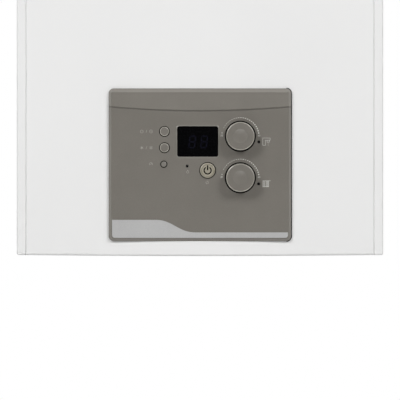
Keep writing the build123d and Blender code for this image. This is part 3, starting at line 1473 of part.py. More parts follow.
# The silver band fills the foot of the fascia; its top edge steps down in a long S.
band_side_inset = 3.5
band_foot_inset = 3.4
band_high_rise = 19.6       # height of the band at the left
band_low_rise = 5.9         # and at the right
band_left = -fascia_half + band_side_inset
band_right = fascia_half - band_side_inset
band_foot = -fascia_height / 2 + band_foot_inset
band_high = band_foot + band_high_rise
band_low = band_foot + band_low_rise
step_start = -48.5
step_end = -5.0
band_thickness = 0.6
band_corner = 3.0

with BuildPart() as silver_band:
    with BuildSketch(Plane.XZ.offset(fascia_front)):
        with BuildLine():
            foot, high, low = fascia_z + band_foot, fascia_z + band_high, fascia_z + band_low
            Line((band_left + band_corner, foot), (band_right - band_corner, foot))
            RadiusArc(
                (band_right - band_corner, foot), (band_right, foot + band_corner), -band_corner
            )
            Line((band_right, foot + band_corner), (band_right, low))
            Line((band_right, low), (step_end, low))
            Spline((step_end, low), (step_start, high), tangents=((-1, 0), (-1, 0)))
            Line((step_start, high), (band_left, high))
            Line((band_left, high), (band_left, foot + band_corner))
            RadiusArc(
                (band_left, foot + band_corner), (band_left + band_corner, foot), -band_corner
            )
        make_face()
    extrude(amount=band_thickness)
silver_band.part.label = "silver_band"
export_step(silver_band.part, "parts/silver_band.step")

lamp_flange = 2.5
lens_proud = 1.2

with BuildPart() as status_lamps:
    for place in led_places:
        post(on_fascia(place, board_front), led_pipe + lamp_flange, plate_rear - board_front)
        post(on_fascia(place, plate_rear), led_pipe, fascia_plate - 2 * window_gap)
    post(on_fascia(lens_place, board_front), lens_hole + lamp_flange, plate_rear - board_front)
    post(on_fascia(lens_place, plate_rear), lens_cap, fascia_plate + lens_proud)
    fillet(status_lamps.faces().sort_by(Axis.Y)[0].edges(), radius=lens_proud / 2)
status_lamps.part.label = "status_lamps"
export_step(status_lamps.part, "parts/status_lamps.step")

knob_proud = 15.0
knob_lift = 0.5             # floor of the well to the knob
knob_front = fascia_front + knob_proud
knob_rear = fascia_front - well_depth + knob_lift
knob_draft = 0.4
knob_round = 1.3
knob_dish = 15.5
dish_depth = 0.6
dish_radius = (knob_dish**2 / 4 + dish_depth**2) / (2 * dish_depth)
shaft_end = board_front + sheet + run_gap


def make_knob(place):
    """A round knob with a rounded rim, a shallow dish in its face, and its shaft."""
    x, z = place[0], control_z + place[1]
    rim = knob_diameter / 2
    with BuildPart() as knob:
        with BuildSketch(Plane.XY.offset(z)):
            with BuildLine():
                Polyline(
                    (x, -knob_rear), (x + rim, -knob_rear),
                    (x + rim - knob_draft, -knob_front), (x, -knob_front),
                )
                Line((x, -knob_front), (x, -knob_rear))
            make_face()
        revolve(axis=Axis((x, 0, z), (0, -1, 0)))
        fillet(knob.faces().sort_by(Axis.Y)[0].edges(), radius=knob_round)
        with Locations((x, -(knob_front + dish_radius - dish_depth), z)):
            Sphere(dish_radius, mode=Mode.SUBTRACT)
        post(on_fascia(place, shaft_end), knob_shaft, knob_rear - shaft_end + sheet)
    return knob.part


hot_water_knob = make_knob(knob_places["hot_water_knob"])
hot_water_knob.label = "hot_water_knob"
export_step(hot_water_knob, "parts/hot_water_knob.step")

heating_knob = make_knob(knob_places["heating_knob"])
heating_knob.label = "heating_knob"
export_step(heating_knob, "parts/heating_knob.step")

button_proud = 1.5
power_proud = 2.0
button_collar = 1.2
button_overlap = 2.0
button_stem = 5.0


def make_button(place, cap, hole, proud):
    """A push button with a collar behind the fascia and a stem over its switch."""
    collar_front = plate_rear - run_gap
    stem_end = board_front + switch_depth + button_travel + run_gap
    with BuildPart() as button:
        post(on_fascia(place, collar_front), cap, fascia_front + proud - collar_front)
        fillet(button.faces().sort_by(Axis.Y)[0].edges(), radius=proud / 2)
        post(on_fascia(place, collar_front - button_collar), hole + button_overlap, button_collar)
        post(on_fascia(place, stem_end), button_stem, collar_front - stem_end)
    return button.part


upper_button = make_button(button_places["upper_button"], button_cap, button_hole, button_proud)
upper_button.label = "upper_button"
export_step(upper_button, "parts/upper_button.step")

lower_button = make_button(button_places["lower_button"], button_cap, button_hole, button_proud)
lower_button.label = "lower_button"
export_step(lower_button, "parts/lower_button.step")

power_button = make_button(power_place, power_cap, power_hole, power_proud)
power_button.label = "power_button"
export_step(power_button, "parts/power_button.step")

# ================================================================ wiring
# Each lead leaves the control box through a grommet and ends in a moulded plug or boot.
lead_sheath = 5.0
spark_sheath = 6.5
grommet = 9.0
grommet_height = 3.0
plug_width = 11.0
plug_length = 12.0
plug_corner = 2.0
boot_width = 12.5
boot_length = 20.0
boot_corner = 6.0
lead_bend = 9.0
wide_bend = 20.0
last_bend = 11.0
plug_run = plug_length + last_bend      # straight run into a plug, and the bend before it
boot_run = boot_length + last_bend
box_top = fascia_z + box_height / 2
lead_depth = box_back + grommet
lead_pitch = grommet + stub_gap
fan_lead_x = -fan_half - motor_length - 1.5 * grommet
spark_x = [fan_lead_x - lead_pitch, fan_lead_x - 2 * lead_pitch]
diverter_lead_x = fan_lead_x + lead_pitch
motor_x = -fan_half - motor_length / 2
motor_plug_top = fan_z + motor_can / 2 - motor_plug_sink + motor_plug[2]
spark_z = exchanger_z + electrode_rise
spark_end = door_rear + door_thickness + electrode_cap
spark_front = spark_end + boot_run
spark_arch = 27.0           # rise of the right electrode's lead over the duct
spark_lean = 33.0           # leads reach their electrodes from this far aside
valve_lead_z = valve_top - valve_height * 0.6
valve_lead_depth = fan_depth + plug_width / 2
valve_side = gas_x - valve_width / 2
actuator_top = actuator_foot + actuator_height + actuator_plug_rise
actuator_depth = pipe_depth + actuator_width / 4
sensor_top = group_top + sensor_plug_rise + sensor_plug[2]
pump_box_top = pump_z + pump_box / 2
pump_lead_x = pump_x + pump_box / 4
pump_lead_depth = volute_front + pump_flange + pump_length + pump_box_depth / 2
box_side_depth = box_back + 2 * grommet


def lead(route, bends, sheath, end_width, end_length, end_corner):
    """A round lead through (x, depth, z) points, with a grommet at its start and a plug at its end."""
    points = [(x, -depth, z) for x, depth, z in route]
    with BuildLine() as path:
        FilletPolyline(*points, radius=bends)
    start = Plane(origin=path.line @ 0, z_dir=path.line % 0)
    end = Plane(origin=path.line @ 1, z_dir=-(path.line % 1))
    with BuildPart() as cable:
        with BuildSketch(start):
            Circle(sheath / 2)
        sweep(path=path.line)
        post(start, grommet, grommet_height)
        with BuildSketch(end):
            RectangleRounded(end_width, end_width, end_corner)
        extrude(amount=end_length)
    return cable.part


fan_route = [
    (fan_lead_x, lead_depth, box_top), (fan_lead_x, lead_depth, fan_z - motor_can / 4),
    (fan_lead_x, fan_depth, fan_z + motor_can / 4), (fan_lead_x, fan_depth, motor_plug_top + plug_run),
    (motor_x, fan_depth, motor_plug_top + plug_run), (motor_x, fan_depth, motor_plug_top),
]
left_spark_route = [
    (spark_x[0], lead_depth, box_top), (spark_x[0], lead_depth, exchanger_z - 2 * wide_bend),
    (-electrode_x - spark_lean, spark_front, spark_z - last_bend), (-electrode_x, spark_front, spark_z),
    (-electrode_x, spark_end, spark_z),
]
right_spark_route = [
    (spark_x[1], lead_depth, box_top), (spark_x[1], lead_depth, exchanger_z - wide_bend),
    (-electrode_x - spark_lean, spark_front, spark_z + spark_arch),
    (electrode_x - spark_lean, spark_front, spark_z + spark_arch),
    (electrode_x, spark_front, spark_z), (electrode_x, spark_end, spark_z),
]
valve_route = [
    (valve_side - plug_run, lead_depth, box_top),
    (valve_side - plug_run, lead_depth, valve_lead_z - lead_bend),
    (valve_side - plug_run, valve_lead_depth, valve_lead_z), (valve_side, valve_lead_depth, valve_lead_z),
]
diverter_route = [
    (diverter_lead_x, lead_depth, box_top), (diverter_lead_x, lead_depth, actuator_top + plug_run),
    (valve_x, actuator_depth, actuator_top + plug_run), (valve_x, actuator_depth, actuator_top),
]
sensor_route = [
    (sensor_x, box_back, sensor_top + plug_run), (sensor_x, sensor_depth, sensor_top + plug_run),
    (sensor_x, sensor_depth, sensor_top),
]
pump_route = [
    (box_half, box_side_depth, pump_box_top + plug_run),
    (pump_lead_x, box_side_depth, pump_box_top + plug_run),
    (pump_lead_x, pump_lead_depth, pump_box_top + plug_run), (pump_lead_x, pump_lead_depth, pump_box_top),
]
plug_end = (lead_sheath, plug_width, plug_length, plug_corner)
boot_end = (spark_sheath, boot_width, boot_length, boot_corner)

with BuildPart() as wiring_harness:
    add(lead(fan_route, [wide_bend, wide_bend, last_bend, last_bend], *plug_end))
    add(lead(left_spark_route, [wide_bend, wide_bend, last_bend], *boot_end))
    add(lead(right_spark_route, [wide_bend, wide_bend, wide_bend, last_bend], *boot_end))
    add(lead(valve_route, [lead_bend, lead_bend], *plug_end))
    add(lead(diverter_route, [wide_bend, last_bend], *plug_end))
    add(lead(sensor_route, [last_bend], *plug_end))
    add(lead(pump_route, [lead_bend, last_bend], *plug_end))
wiring_harness.part.label = "wiring_harness"
export_step(wiring_harness.part, "parts/wiring_harness.step")
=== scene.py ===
# %% [markdown]
# # A wall-hung combi boiler
# The boiler arrives as a imported model: every sheet, pipe and knob is already at its real size and
# place, in metres, with the wall at y = 0 and the front facing -Y. This script gives each surface
# its finish, adds the small things that are printed on, screwed on or threaded, and then lights
# the result and sets up a camera to photograph it.

# %% Load the imported model
import json
from math import cos, exp, pi, radians, sin

import bmesh
import bpy
from mathutils import Matrix, Vector, noise


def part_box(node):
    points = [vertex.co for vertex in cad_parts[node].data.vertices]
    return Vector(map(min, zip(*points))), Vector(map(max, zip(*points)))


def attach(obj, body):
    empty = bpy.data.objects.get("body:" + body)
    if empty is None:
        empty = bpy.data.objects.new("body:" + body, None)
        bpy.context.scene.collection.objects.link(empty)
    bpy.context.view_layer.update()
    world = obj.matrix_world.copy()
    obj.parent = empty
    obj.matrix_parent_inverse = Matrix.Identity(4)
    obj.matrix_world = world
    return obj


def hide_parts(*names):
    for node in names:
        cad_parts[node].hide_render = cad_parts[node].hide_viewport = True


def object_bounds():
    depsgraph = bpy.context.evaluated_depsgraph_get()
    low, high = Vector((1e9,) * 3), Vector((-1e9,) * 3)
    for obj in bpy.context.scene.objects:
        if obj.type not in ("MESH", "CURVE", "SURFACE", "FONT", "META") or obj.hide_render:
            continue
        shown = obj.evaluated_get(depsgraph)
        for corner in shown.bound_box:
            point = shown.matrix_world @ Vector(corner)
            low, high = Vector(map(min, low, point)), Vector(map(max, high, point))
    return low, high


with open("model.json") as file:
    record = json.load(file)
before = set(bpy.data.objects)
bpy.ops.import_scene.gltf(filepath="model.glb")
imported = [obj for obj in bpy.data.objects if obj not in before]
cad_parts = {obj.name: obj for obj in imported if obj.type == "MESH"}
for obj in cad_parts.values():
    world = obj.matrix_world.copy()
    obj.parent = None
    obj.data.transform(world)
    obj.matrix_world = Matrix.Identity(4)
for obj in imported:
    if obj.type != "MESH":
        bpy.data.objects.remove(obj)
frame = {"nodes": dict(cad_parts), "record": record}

scene = bpy.context.scene
nodes = frame["nodes"]
cad_box = [list(corner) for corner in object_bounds()]
print("model box in metres:", cad_box)

# %% [markdown]
# ## Units and the places that everything is measured from
# Small things are easier to think of in millimetres, so every new piece is drawn in millimetres
# and turned into metres when it is finished. The printed marks sit on the fascia's face, and its
# place comes from the model itself, so the marks stay on it whatever its size.

# %% Places on the fascia
mm = 0.001


def corners(name):
    """A node's lowest and highest corners, in millimetres."""
    low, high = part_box(name)
    return low / mm, high / mm


def middle(name):
    """The middle of a node's box, in millimetres."""
    low, high = corners(name)
    return (low + high) / 2


fascia_low, fascia_high = corners("fascia")
header_low, header_high = corners("header_trim")
face_y = header_low.y
fascia_centre = (fascia_low.z + header_high.z) / 2
print("fascia face", round(-face_y, 2), "mm from the wall, middle at height", round(fascia_centre, 2))


def on_face(right, up, proud=0.0):
    """A point on the fascia's face, measured from its middle."""
    return Vector((right, face_y - proud, fascia_centre + up))


# %% [markdown]
# ## Building a graph of shader nodes
# A procedural material is a graph: noise or waves feed colour ramps, bumps and the shader. One
# small function adds any node, sets its properties and fills its inputs, with a value, with the
# output of another node, or with a whole node, which stands for its first output. Colours are
# written as the sRGB hex codes that a colour picker shows, and one function turns them into the
# linear values that a renderer adds and multiplies.

# %% Colours and shader nodes
def linear(code):
    """A linear colour from an sRGB hex code."""
    parts = [int(code[i:i + 2], 16) / 255 for i in (1, 3, 5)]
    return (*[c / 12.92 if c <= 0.04045 else ((c + 0.055) / 1.055) ** 2.4 for c in parts], 1.0)


def shades(code, darker, lighter):
    """Two shades of one colour, as shares of its brightness."""
    base = linear(code)[:3]
    return [(*[min(1.0, c * level) for c in base], 1.0) for level in (darker, lighter)]


def main_output(node):
    """The first of a node's outputs that is in use."""
    return next(output for output in node.outputs if output.enabled)


def add(tree, kind, inputs=None, **settings):
    """Add a node with its settings; each input is a value, a node's output, or a whole node."""
    node = tree.nodes.new("ShaderNode" + kind)
    for name, value in settings.items():
        setattr(node, name, value)
    for name, value in (inputs or {}).items():
        if isinstance(value, bpy.types.Node):
            value = main_output(value)
        if isinstance(value, bpy.types.NodeSocket):
            tree.links.new(value, node.inputs[name])
        else:
            node.inputs[name].default_value = value
    return node


def per_metre(size):
    """A texture scale whose pattern repeats about every so many millimetres."""
    return 1 / (size * mm)


def new_material(name, **sockets):
    """A material with its shader's own sockets set, and its tree and object space."""
    material = bpy.data.materials.new(name)
    material.use_nodes = True
    tree = material.node_tree
    for socket, value in sockets.items():
        tree.nodes["Principled BSDF"].inputs[socket.replace("_", " ")].default_value = value
    return material, tree, add(tree, "TexCoord").outputs["Object"]


# %% [markdown]
# ## Finishes
# Most of the boiler is one of a few kinds of surface, and each kind has its own recipe. A recipe
# starts from what the surface is and how it was made, because that decides what the eye sees:
# a moulded plastic carries the fine spark-eroded grain of its tool, a powder coat flows into a
# soft orange peel, and a rolled sheet keeps the direction of the rolls.
#
# Every recipe ends in the same step: one pattern chooses between two colours, one varies the
# gloss, and one raises a relief that is given in millimetres. One function takes that step.

# %% The last step of each recipe
def surface(
    material, share=None, colours=(), gloss=None, rough=(), relief=None, depth=0.01, strength=0.5,
):
    """Wire a material's patterns to its colour, its roughness and its relief."""
    tree = material.node_tree
    steps = {}
    if share is not None:
        steps["Base Color"] = add(tree, "Mix", {
            "Factor": share, "A": colours[0], "B": colours[1],
        }, data_type="RGBA")
    if gloss is not None:
        steps["Roughness"] = add(tree, "MapRange", {
            "Value": gloss, "To Min": rough[0], "To Max": rough[1],
        })
    if relief is not None:
        steps["Normal"] = add(tree, "Bump", {
            "Height": relief, "Distance": depth * mm, "Strength": strength,
        })
    for socket, step in steps.items():
        tree.links.new(main_output(step), tree.nodes["Principled BSDF"].inputs[socket])
    return material


# %% [markdown]
# Most plastic parts are injection moulded in a tool whose face is spark-eroded. The moulding takes
# on that fine pebbled grain, which breaks up its gloss.

# %% Moulded plastic
def moulded(name, code, roughness=0.45, grain=0.9, depth=0.02, mottle=0.05, **sockets):
    """A moulding: the grain of its tool, and a faint cloudiness where the melt flowed."""
    material, tree, space = new_material(name, **sockets)
    cloud = add(tree, "TexNoise", {"Vector": space, "Scale": per_metre(35), "Detail": 3.0})
    tool = add(tree, "TexNoise", {"Vector": space, "Scale": per_metre(grain), "Detail": 4.0})
    rough = (roughness - 0.06, roughness + 0.06)
    return surface(material, cloud, shades(code, 1 - mottle, 1 + mottle), tool, rough, tool, depth, 0.6)


# %% [markdown]
# The fascia, knobs and keys are mouldings sprayed with a taupe lacquer that holds a little
# metal flake, under a clear coat. The clear coat mirrors the bright sides of the room on every
# bevel, so the rims read as fine light lines round a darker face. The flakes are finer than the
# render can show, so they are drawn about half a millimetre wide.

# %% Flake lacquer
def flake_lacquer(name, code, roughness=0.4):
    """A sprayed lacquer with fine metal flake and a clear coat over a smooth moulding."""
    material, tree, space = new_material(name, Metallic=0.3, Coat_Weight=1.0, Coat_Roughness=0.22)
    flakes = add(tree, "TexVoronoi", {"Vector": space, "Scale": per_metre(0.5)})
    mist = add(tree, "TexNoise", {"Vector": space, "Scale": per_metre(18), "Detail": 3.0})
    spread = add(tree, "Math", {0: flakes.outputs["Color"], 1: 0.6}, operation="MULTIPLY")
    level = add(tree, "Math", {0: mist, 1: 0.4, 2: spread}, operation="MULTIPLY_ADD")
    rough = (roughness - 0.05, roughness + 0.05)
    return surface(material, level, shades(code, 0.9, 1.1), mist, rough, flakes.outputs["Distance"])


# %% [markdown]
# Powder coat and stoved enamel start as a dry powder or a thick paint that melts and flows. It
# never flows quite flat, which leaves the shallow ripple called orange peel.

# %% Powder coat and enamel
def coated(name, code, roughness=0.35, coat=0.0, mottle=0.012):
    """A coat on sheet steel, with orange peel and a trace of unevenness in its colour."""
    material, tree, space = new_material(name, Coat_Weight=coat, Coat_Roughness=0.12)
    cloud = add(tree, "TexNoise", {"Vector": space, "Scale": per_metre(120), "Detail": 2.0})
    ripple = add(tree, "TexNoise", {"Vector": space, "Scale": per_metre(2.2), "Detail": 1.5})
    rough = (roughness - 0.04, roughness + 0.04)
    return surface(material, cloud, shades(code, 1 - mottle, 1 + mottle), cloud, rough, ripple, 0.03)


# %% [markdown]
# Hot-dip galvanised sheet shows its zinc crystals as spangle: flat cells a few millimetres
# across, each catching the light a little differently.

# %% Zinc coats
def spangled(name, code, cell=7.0):
    """Galvanised sheet: each crystal has its own shade and its own gloss."""
    material, tree, space = new_material(name, Metallic=0.9)
    warp = add(tree, "TexNoise", {"Vector": space, "Scale": per_metre(cell), "Detail": 2.0})
    bend = add(tree, "Mix", {
        "Factor": 0.0012, "A": space, "B": warp.outputs["Color"],
    }, data_type="VECTOR")
    crystals = add(tree, "TexVoronoi", {"Vector": bend, "Scale": per_metre(cell)})
    own = add(tree, "SeparateColor", {"Color": crystals.outputs["Color"]})
    skin = add(tree, "TexNoise", {"Vector": space, "Scale": per_metre(1.5), "Detail": 3.0})
    colours = shades(code, 0.9, 1.08)
    return surface(material, own.outputs["Red"], colours, own.outputs["Green"], (0.34, 0.5), skin)


# %% [markdown]
# Rolled, drawn, brushed and turned metal all carry fine lines in the direction of the work. A
# noise that is stretched along one axis gives them: across the lines it changes fast, along them
# hardly at all.

# %% Worked metal
def worked(name, code, along="Z", line=0.6, roughness=0.3, tarnish=0.08, tarnish_code="#6b4a36"):
    """Bare metal with fine lines along one axis, and tarnish in soft patches."""
    material, tree, space = new_material(name, Metallic=1.0)
    stretch = [0.03 if axis == along else 1.0 for axis in "XYZ"]
    lines = add(tree, "Mapping", {"Vector": space, "Scale": stretch})
    grain = add(tree, "TexNoise", {"Vector": lines, "Scale": per_metre(line), "Detail": 4.0})
    patch = add(tree, "TexNoise", {"Vector": space, "Scale": per_metre(28), "Detail": 5.0})
    soft = add(tree, "MapRange", {"Value": patch, "From Min": 0.42, "From Max": 0.72, "To Max": tarnish})
    rough = (roughness - 0.1, roughness + 0.12)
    return surface(material, soft, (linear(code), linear(tarnish_code)), grain, rough, grain)


# %% [markdown]
# A die or sand casting keeps the skin of its mould: a dull, slightly pebbled grey with no
# direction to it.

# %% Cast metal
def cast(name, code):
    """As-cast metal: a pebbled skin with darker hollows."""
    material, tree, space = new_material(name, Metallic=0.85)
    sand = add(tree, "TexNoise", {"Vector": space, "Scale": per_metre(1.6), "Detail": 5.0})
    stain = add(tree, "TexNoise", {"Vector": space, "Scale": per_metre(40), "Detail": 4.0})
    both = add(tree, "Math", {0: sand, 1: stain}, operation="ADD")
    share = add(tree, "MapRange", {"Value": both, "From Min": 0.6, "From Max": 1.4})
    return surface(material, share, shades(code, 0.72, 1.0), stain, (0.45, 0.65), sand, 0.12, 0.7)


# %% [markdown]
# ## The special finishes
# A few surfaces are one of a kind: mineral felt, the dark display, the circuit boards and the
# electrodes, whose ceramic ends where their steel rods begin.

# %% Mineral felt
def felt(name, code):
    """Pressed mineral felt: short tangled fibres, quite matt, with sheen on the loose ends."""
    material, tree, space = new_material(name, Roughness=0.95, Sheen_Weight=0.35, Sheen_Roughness=0.5)
    fibres = add(tree, "TexNoise", {
        "Vector": space, "Scale": per_metre(1.1), "Detail": 8.0, "Distortion": 1.6,
    })
    clumps = add(tree, "TexNoise", {"Vector": space, "Scale": per_metre(14), "Detail": 4.0})
    level = add(tree, "Math", {0: fibres, 1: clumps}, operation="MULTIPLY")
    share = add(tree, "MapRange", {"Value": level, "From Min": 0.1, "From Max": 0.45})
    return surface(material, share, shades(code, 0.6, 1.35), relief=fibres, depth=0.5, strength=0.9)


# %% [markdown]
# The display window is polished black acrylic, so it shows little but its gloss. A few faint
# wipe marks in that gloss show that it is a real surface.

# %% Dark display panel
def dark_panel(name, code):
    """Polished black acrylic with a few faint wipe marks in its gloss."""
    material, tree, space = new_material(name, Base_Color=linear(code), IOR=1.49)
    wipes = add(tree, "Mapping", {"Vector": space, "Scale": (0.25, 1.0, 1.0)})
    marks = add(tree, "TexNoise", {"Vector": wipes, "Scale": per_metre(6), "Detail": 5.0})
    return surface(material, gloss=marks, rough=(0.05, 0.16))


# %% [markdown]
# A circuit board is glass cloth with copper tracks under a green lacquer. The tracks are raised
# a little, so a brick pattern draws them in both the colour and the relief.

# %% Circuit board
def solder_mask(name, code, copper_code):
    """A green solder mask over copper tracks, which show as lighter straight bands."""
    material, tree, space = new_material(name, Roughness=0.28, Coat_Weight=0.4, Coat_Roughness=0.15)
    gap = (0, 0, 0, 1)
    tracks = add(tree, "TexBrick", {
        "Vector": space, "Scale": per_metre(14), "Color1": gap, "Color2": gap, "Mortar": (1, 1, 1, 1),
        "Mortar Size": 0.06, "Brick Width": 0.9, "Row Height": 0.2,
    })
    dust = add(tree, "TexNoise", {"Vector": space, "Scale": per_metre(5), "Detail": 4.0})
    patchy = add(tree, "Math", {0: tracks, 1: dust}, operation="MULTIPLY")
    colours = (linear(code), linear(copper_code))
    return surface(material, patchy, colours, relief=tracks, depth=0.05, strength=0.6)


# %% [markdown]
# An electrode is one node, but it is ceramic in front of the burner door and steel behind it. The
# depth in the case decides which of the two a point belongs to.

# %% Electrode: glazed ceramic and a steel rod
def electrode(name, ceramic_code, steel_code, rod_y):
    """Glazed ceramic in front of the burner door, and bare steel behind it."""
    material, tree, space = new_material(name, Roughness=0.25)
    depth = add(tree, "SeparateXYZ", {"Vector": space}).outputs["Y"]
    steel = add(tree, "Math", {0: depth, 1: rod_y}, operation="GREATER_THAN")
    specks = add(tree, "TexNoise", {"Vector": space, "Scale": per_metre(2.5), "Detail": 4.0})
    glaze = add(tree, "Mix", {
        "Factor": specks, "A": linear(ceramic_code), "B": linear("#cfc6b4"),
    }, data_type="RGBA")
    tree.links.new(steel.outputs["Value"], tree.nodes["Principled BSDF"].inputs["Metallic"])
    return surface(material, steel, (glaze, linear(steel_code)), relief=specks, depth=0.03)


# %% [markdown]
# Some nodes hold pieces of two colours, and their place tells them apart. The status lamps are
# three black light pipes and one pale lens further to the left. The spark leads are thicker and
# run behind the others, in a red-brown silicone sheath that stands the heat.

# %% Status lamps and leads
def by_place(name, code, other_code, axis, limit, roughness):
    """A moulding that changes colour where one coordinate passes a limit, in millimetres."""
    material = moulded(name, code, roughness)
    tree = material.node_tree
    plain = tree.nodes["Principled BSDF"].inputs["Base Color"].links[0].from_socket
    space = add(tree, "TexCoord").outputs["Object"]
    coordinate = add(tree, "SeparateXYZ", {"Vector": space}).outputs[axis]
    beyond = add(tree, "Math", {0: coordinate, 1: limit * mm}, operation="GREATER_THAN")
    return surface(material, beyond, (plain, linear(other_code)))


# %% [markdown]
# ## One finish for each material slot
# The model's record names a material slot for every node. A dictionary gives each slot its
# finish, and one loop puts it on every node that asks for it. Only the header trim then gets a
# lighter copy of the fascia's lacquer, which is painted light: the extra light that falls on its
# slightly upturned face.

# %% Finishes by slot
lens_limit = -30.0          # the pale lens lies to the left of this
spark_limit = -292.0        # only the spark leads rise above this
rod_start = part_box("burner_door")[1].y
finish = {
    "white_enamel": coated("white_powder_coat", "#dfdfdf", 0.42),
    "galvanised_steel": spangled("galvanised_sheet", "#b9bcbe"),
    "insulation_felt": felt("mineral_felt", "#9a9a97"),
    "zinc_fixings": worked(
        "zinc_plated_steel", "#bfbeb6", "Y", roughness=0.32, tarnish=0.2, tarnish_code="#a59f86",
    ),
    "clip_nylon": moulded("natural_nylon", "#e8e4d8", 0.42),
    "red_enamel": coated("red_stove_enamel", "#a81f1b", 0.22, coat=0.5, mottle=0.05),
    "stainless_steel": worked("pressed_stainless", "#b8b6b2", "X", roughness=0.28),
    "cast_aluminium": cast("as_cast_aluminium", "#b4b5b6"),
    "seal_rubber": moulded("silicone_seal", "#1c1c1c", 0.6),
    "electrode_ceramic": electrode("glazed_electrode", "#ece6d9", "#8f8b86", rod_start),
    "impeller_plastic": moulded("glass_filled_nylon", "#2b2b2b", 0.5),
    "black_plastic": moulded("black_moulding", "#242425", 0.48, grain=1.1, depth=0.04, mottle=0.1),
    "gas_pipe_coating": coated("yellow_passivated_steel", "#c9a23c", 0.34, mottle=0.1),
    "flue_plastic": moulded("white_polypropylene", "#e4e3df", 0.4, mottle=0.02),
    "grey_plastic": moulded("grey_polypropylene", "#86898b"),
    "group_composite": moulded(
        "glass_filled_composite", "#2d2e30", 0.42, grain=1.4, depth=0.05, mottle=0.12,
    ),
    "brass": worked(
        "turned_brass", "#c9a45c", line=0.5, roughness=0.28, tarnish=0.35, tarnish_code="#7d6231",
    ),
    "red_plastic": moulded("red_moulding", "#b3201c", 0.32),
    "blue_plastic": moulded("blue_moulding", "#1f4f9e", 0.32),
    "pump_coating": coated("pump_lacquer", "#3d4347", 0.38, mottle=0.08),
    "copper": worked("drawn_copper", "#d08a62", line=0.8, tarnish=0.7),
    "box_plastic": moulded("control_box_moulding", "#5c5d5e", 0.5, grain=1.2, depth=0.05, mottle=0.06),
    "circuit_board": solder_mask("solder_mask", "#1c5b32", "#4f9a5e"),
    "fascia_plastic": flake_lacquer("taupe_flake_lacquer", "#77736c"),
    "silver_lacquer": flake_lacquer("silver_lacquer", "#bebebe", 0.34),
    "display_glass": dark_panel("black_acrylic", "#030304"),
    "knob_plastic": flake_lacquer("knob_lacquer", "#76726b"),
    "button_plastic": flake_lacquer("key_lacquer", "#76726b"),
    "power_plastic": flake_lacquer("power_key_lacquer", "#9b9586"),
    "lamp_lens": by_place("lamp_mouldings", "#77746e", "#040405", "X", lens_limit, 0.2),
    "cable_sheath": by_place("lead_sheaths", "#232323", "#7a3b2a", "Z", spark_limit, 0.5),
}
for entry in frame["record"]["subparts"]:
    materials = nodes[entry["node"]].data.materials
    materials.clear()
    materials.append(finish[entry["material_slot"]])
# The header's lighter lacquer is painted light, for the light its upturned face catches.
nodes["header_trim"].data.materials[0] = flake_lacquer("header_painted_light_lacquer", "#7e7a73")
print("finishes:", len(finish), "nodes:", len(nodes))

# %% [markdown]
# ## Making a piece
# A bmesh is Blender's editable mesh. Every new piece ends the same way: it goes from millimetres
# to metres, doubled points are merged, normals are turned outwards, and the mesh goes to an
# object at the origin that rides on one of the boiler's bodies. It has the finish of its slot,
# unless it is given another.

# %% From a bmesh to a piece
merge_distance = 1e-6


def make_piece(name, bm, slot, body="boiler", material=None, sharp=35.0):
    """Write a bmesh to a smooth-shaded piece that rides on a body, with its slot's finish or another."""
    bmesh.ops.scale(bm, verts=bm.verts, vec=(mm, mm, mm))
    bmesh.ops.remove_doubles(bm, verts=bm.verts, dist=merge_distance)
    bmesh.ops.recalc_face_normals(bm, faces=bm.faces)
    mesh = bpy.data.meshes.new(name)
    bm.to_mesh(mesh)
    bm.free()
    mesh.shade_smooth()
    mesh.set_sharp_from_angle(angle=radians(sharp))
    mesh.materials.append(material or finish[slot])
    piece = bpy.data.objects.new(name, mesh)
    scene.collection.objects.link(piece)
    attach(piece, body)
    print(name, len(mesh.polygons), "faces")
    return piece


# %% [markdown]
# ## Shapes that come back again and again
# Hardware is mostly turned, milled or folded, so a few helpers cover it: a profile turned about
# an axis, and a ring, a nut and a block with their edges taken off. An edge that is even slightly
# rounded catches a line of light, and that is what makes a small part look solid.

# %% Turned shapes and rings
rightward = Vector((1, 0, 0))
forward = Vector((0, -1, 0))
upward = Vector((0, 0, 1))
downward = Vector((0, 0, -1))
four_corners = [(-1, -1), (-1, 1), (1, -1), (1, 1)]


def turned(bm, place, axis, profile, steps=32, closed=False):
    """Turn a profile of (radius, height) points about an axis; a closed profile makes a ring."""
    side = axis.orthogonal().normalized()
    verts = [bm.verts.new(place + side * radius + axis * height) for radius, height in profile]
    edges = [bm.edges.new(pair) for pair in zip(verts, verts[1:])]
    if closed:
        edges.append(bm.edges.new((verts[-1], verts[0])))
    bmesh.ops.spin(
        bm, geom=verts + edges, cent=place, axis=axis, angle=2 * pi, steps=steps, use_merge=True,
    )


def ring(bm, place, axis, inner, outer, foot, top, edge, steps=40):
    """Turn a ring whose section has its four corners taken off."""
    section = [
        (inner, foot + edge), (inner + edge, foot), (outer - edge, foot), (outer, foot + edge),
        (outer, top - edge), (outer - edge, top), (inner + edge, top), (inner, top - edge),
    ]
    turned(bm, place, axis, section, steps, closed=True)


# %% [markdown]
# Nuts and blocks start as plain shapes whose edges are then bevelled, and a screw head is a turned
# profile with a socket in it.

# %% Nuts, blocks and screw heads
def soften(bm, verts, offset, segments=2):
    """Round off the edges between some vertices."""
    edges = {edge for vert in verts for edge in vert.link_edges}
    bmesh.ops.bevel(
        bm, geom=list(edges), offset=offset, offset_type="OFFSET", affect="EDGES",
        segments=segments, profile=0.5, material=-1,
    )


def nut(bm, place, axis, radius, height, edge=0.9):
    """A six-sided nut that stands on a place."""
    turn = axis.to_track_quat("Z", "Y").to_matrix().to_4x4()
    made = bmesh.ops.create_cone(
        bm, cap_ends=True, segments=6, radius1=radius, radius2=radius, depth=height,
        matrix=Matrix.Translation(place + axis * height / 2) @ turn,
    )
    soften(bm, made["verts"], edge)


def block(bm, centre, size, edge):
    """A block about its centre."""
    scaled = Matrix.Translation(centre) @ Matrix.Diagonal((*size, 1.0))
    made = bmesh.ops.create_cube(bm, size=1.0, matrix=scaled)
    soften(bm, made["verts"], edge)


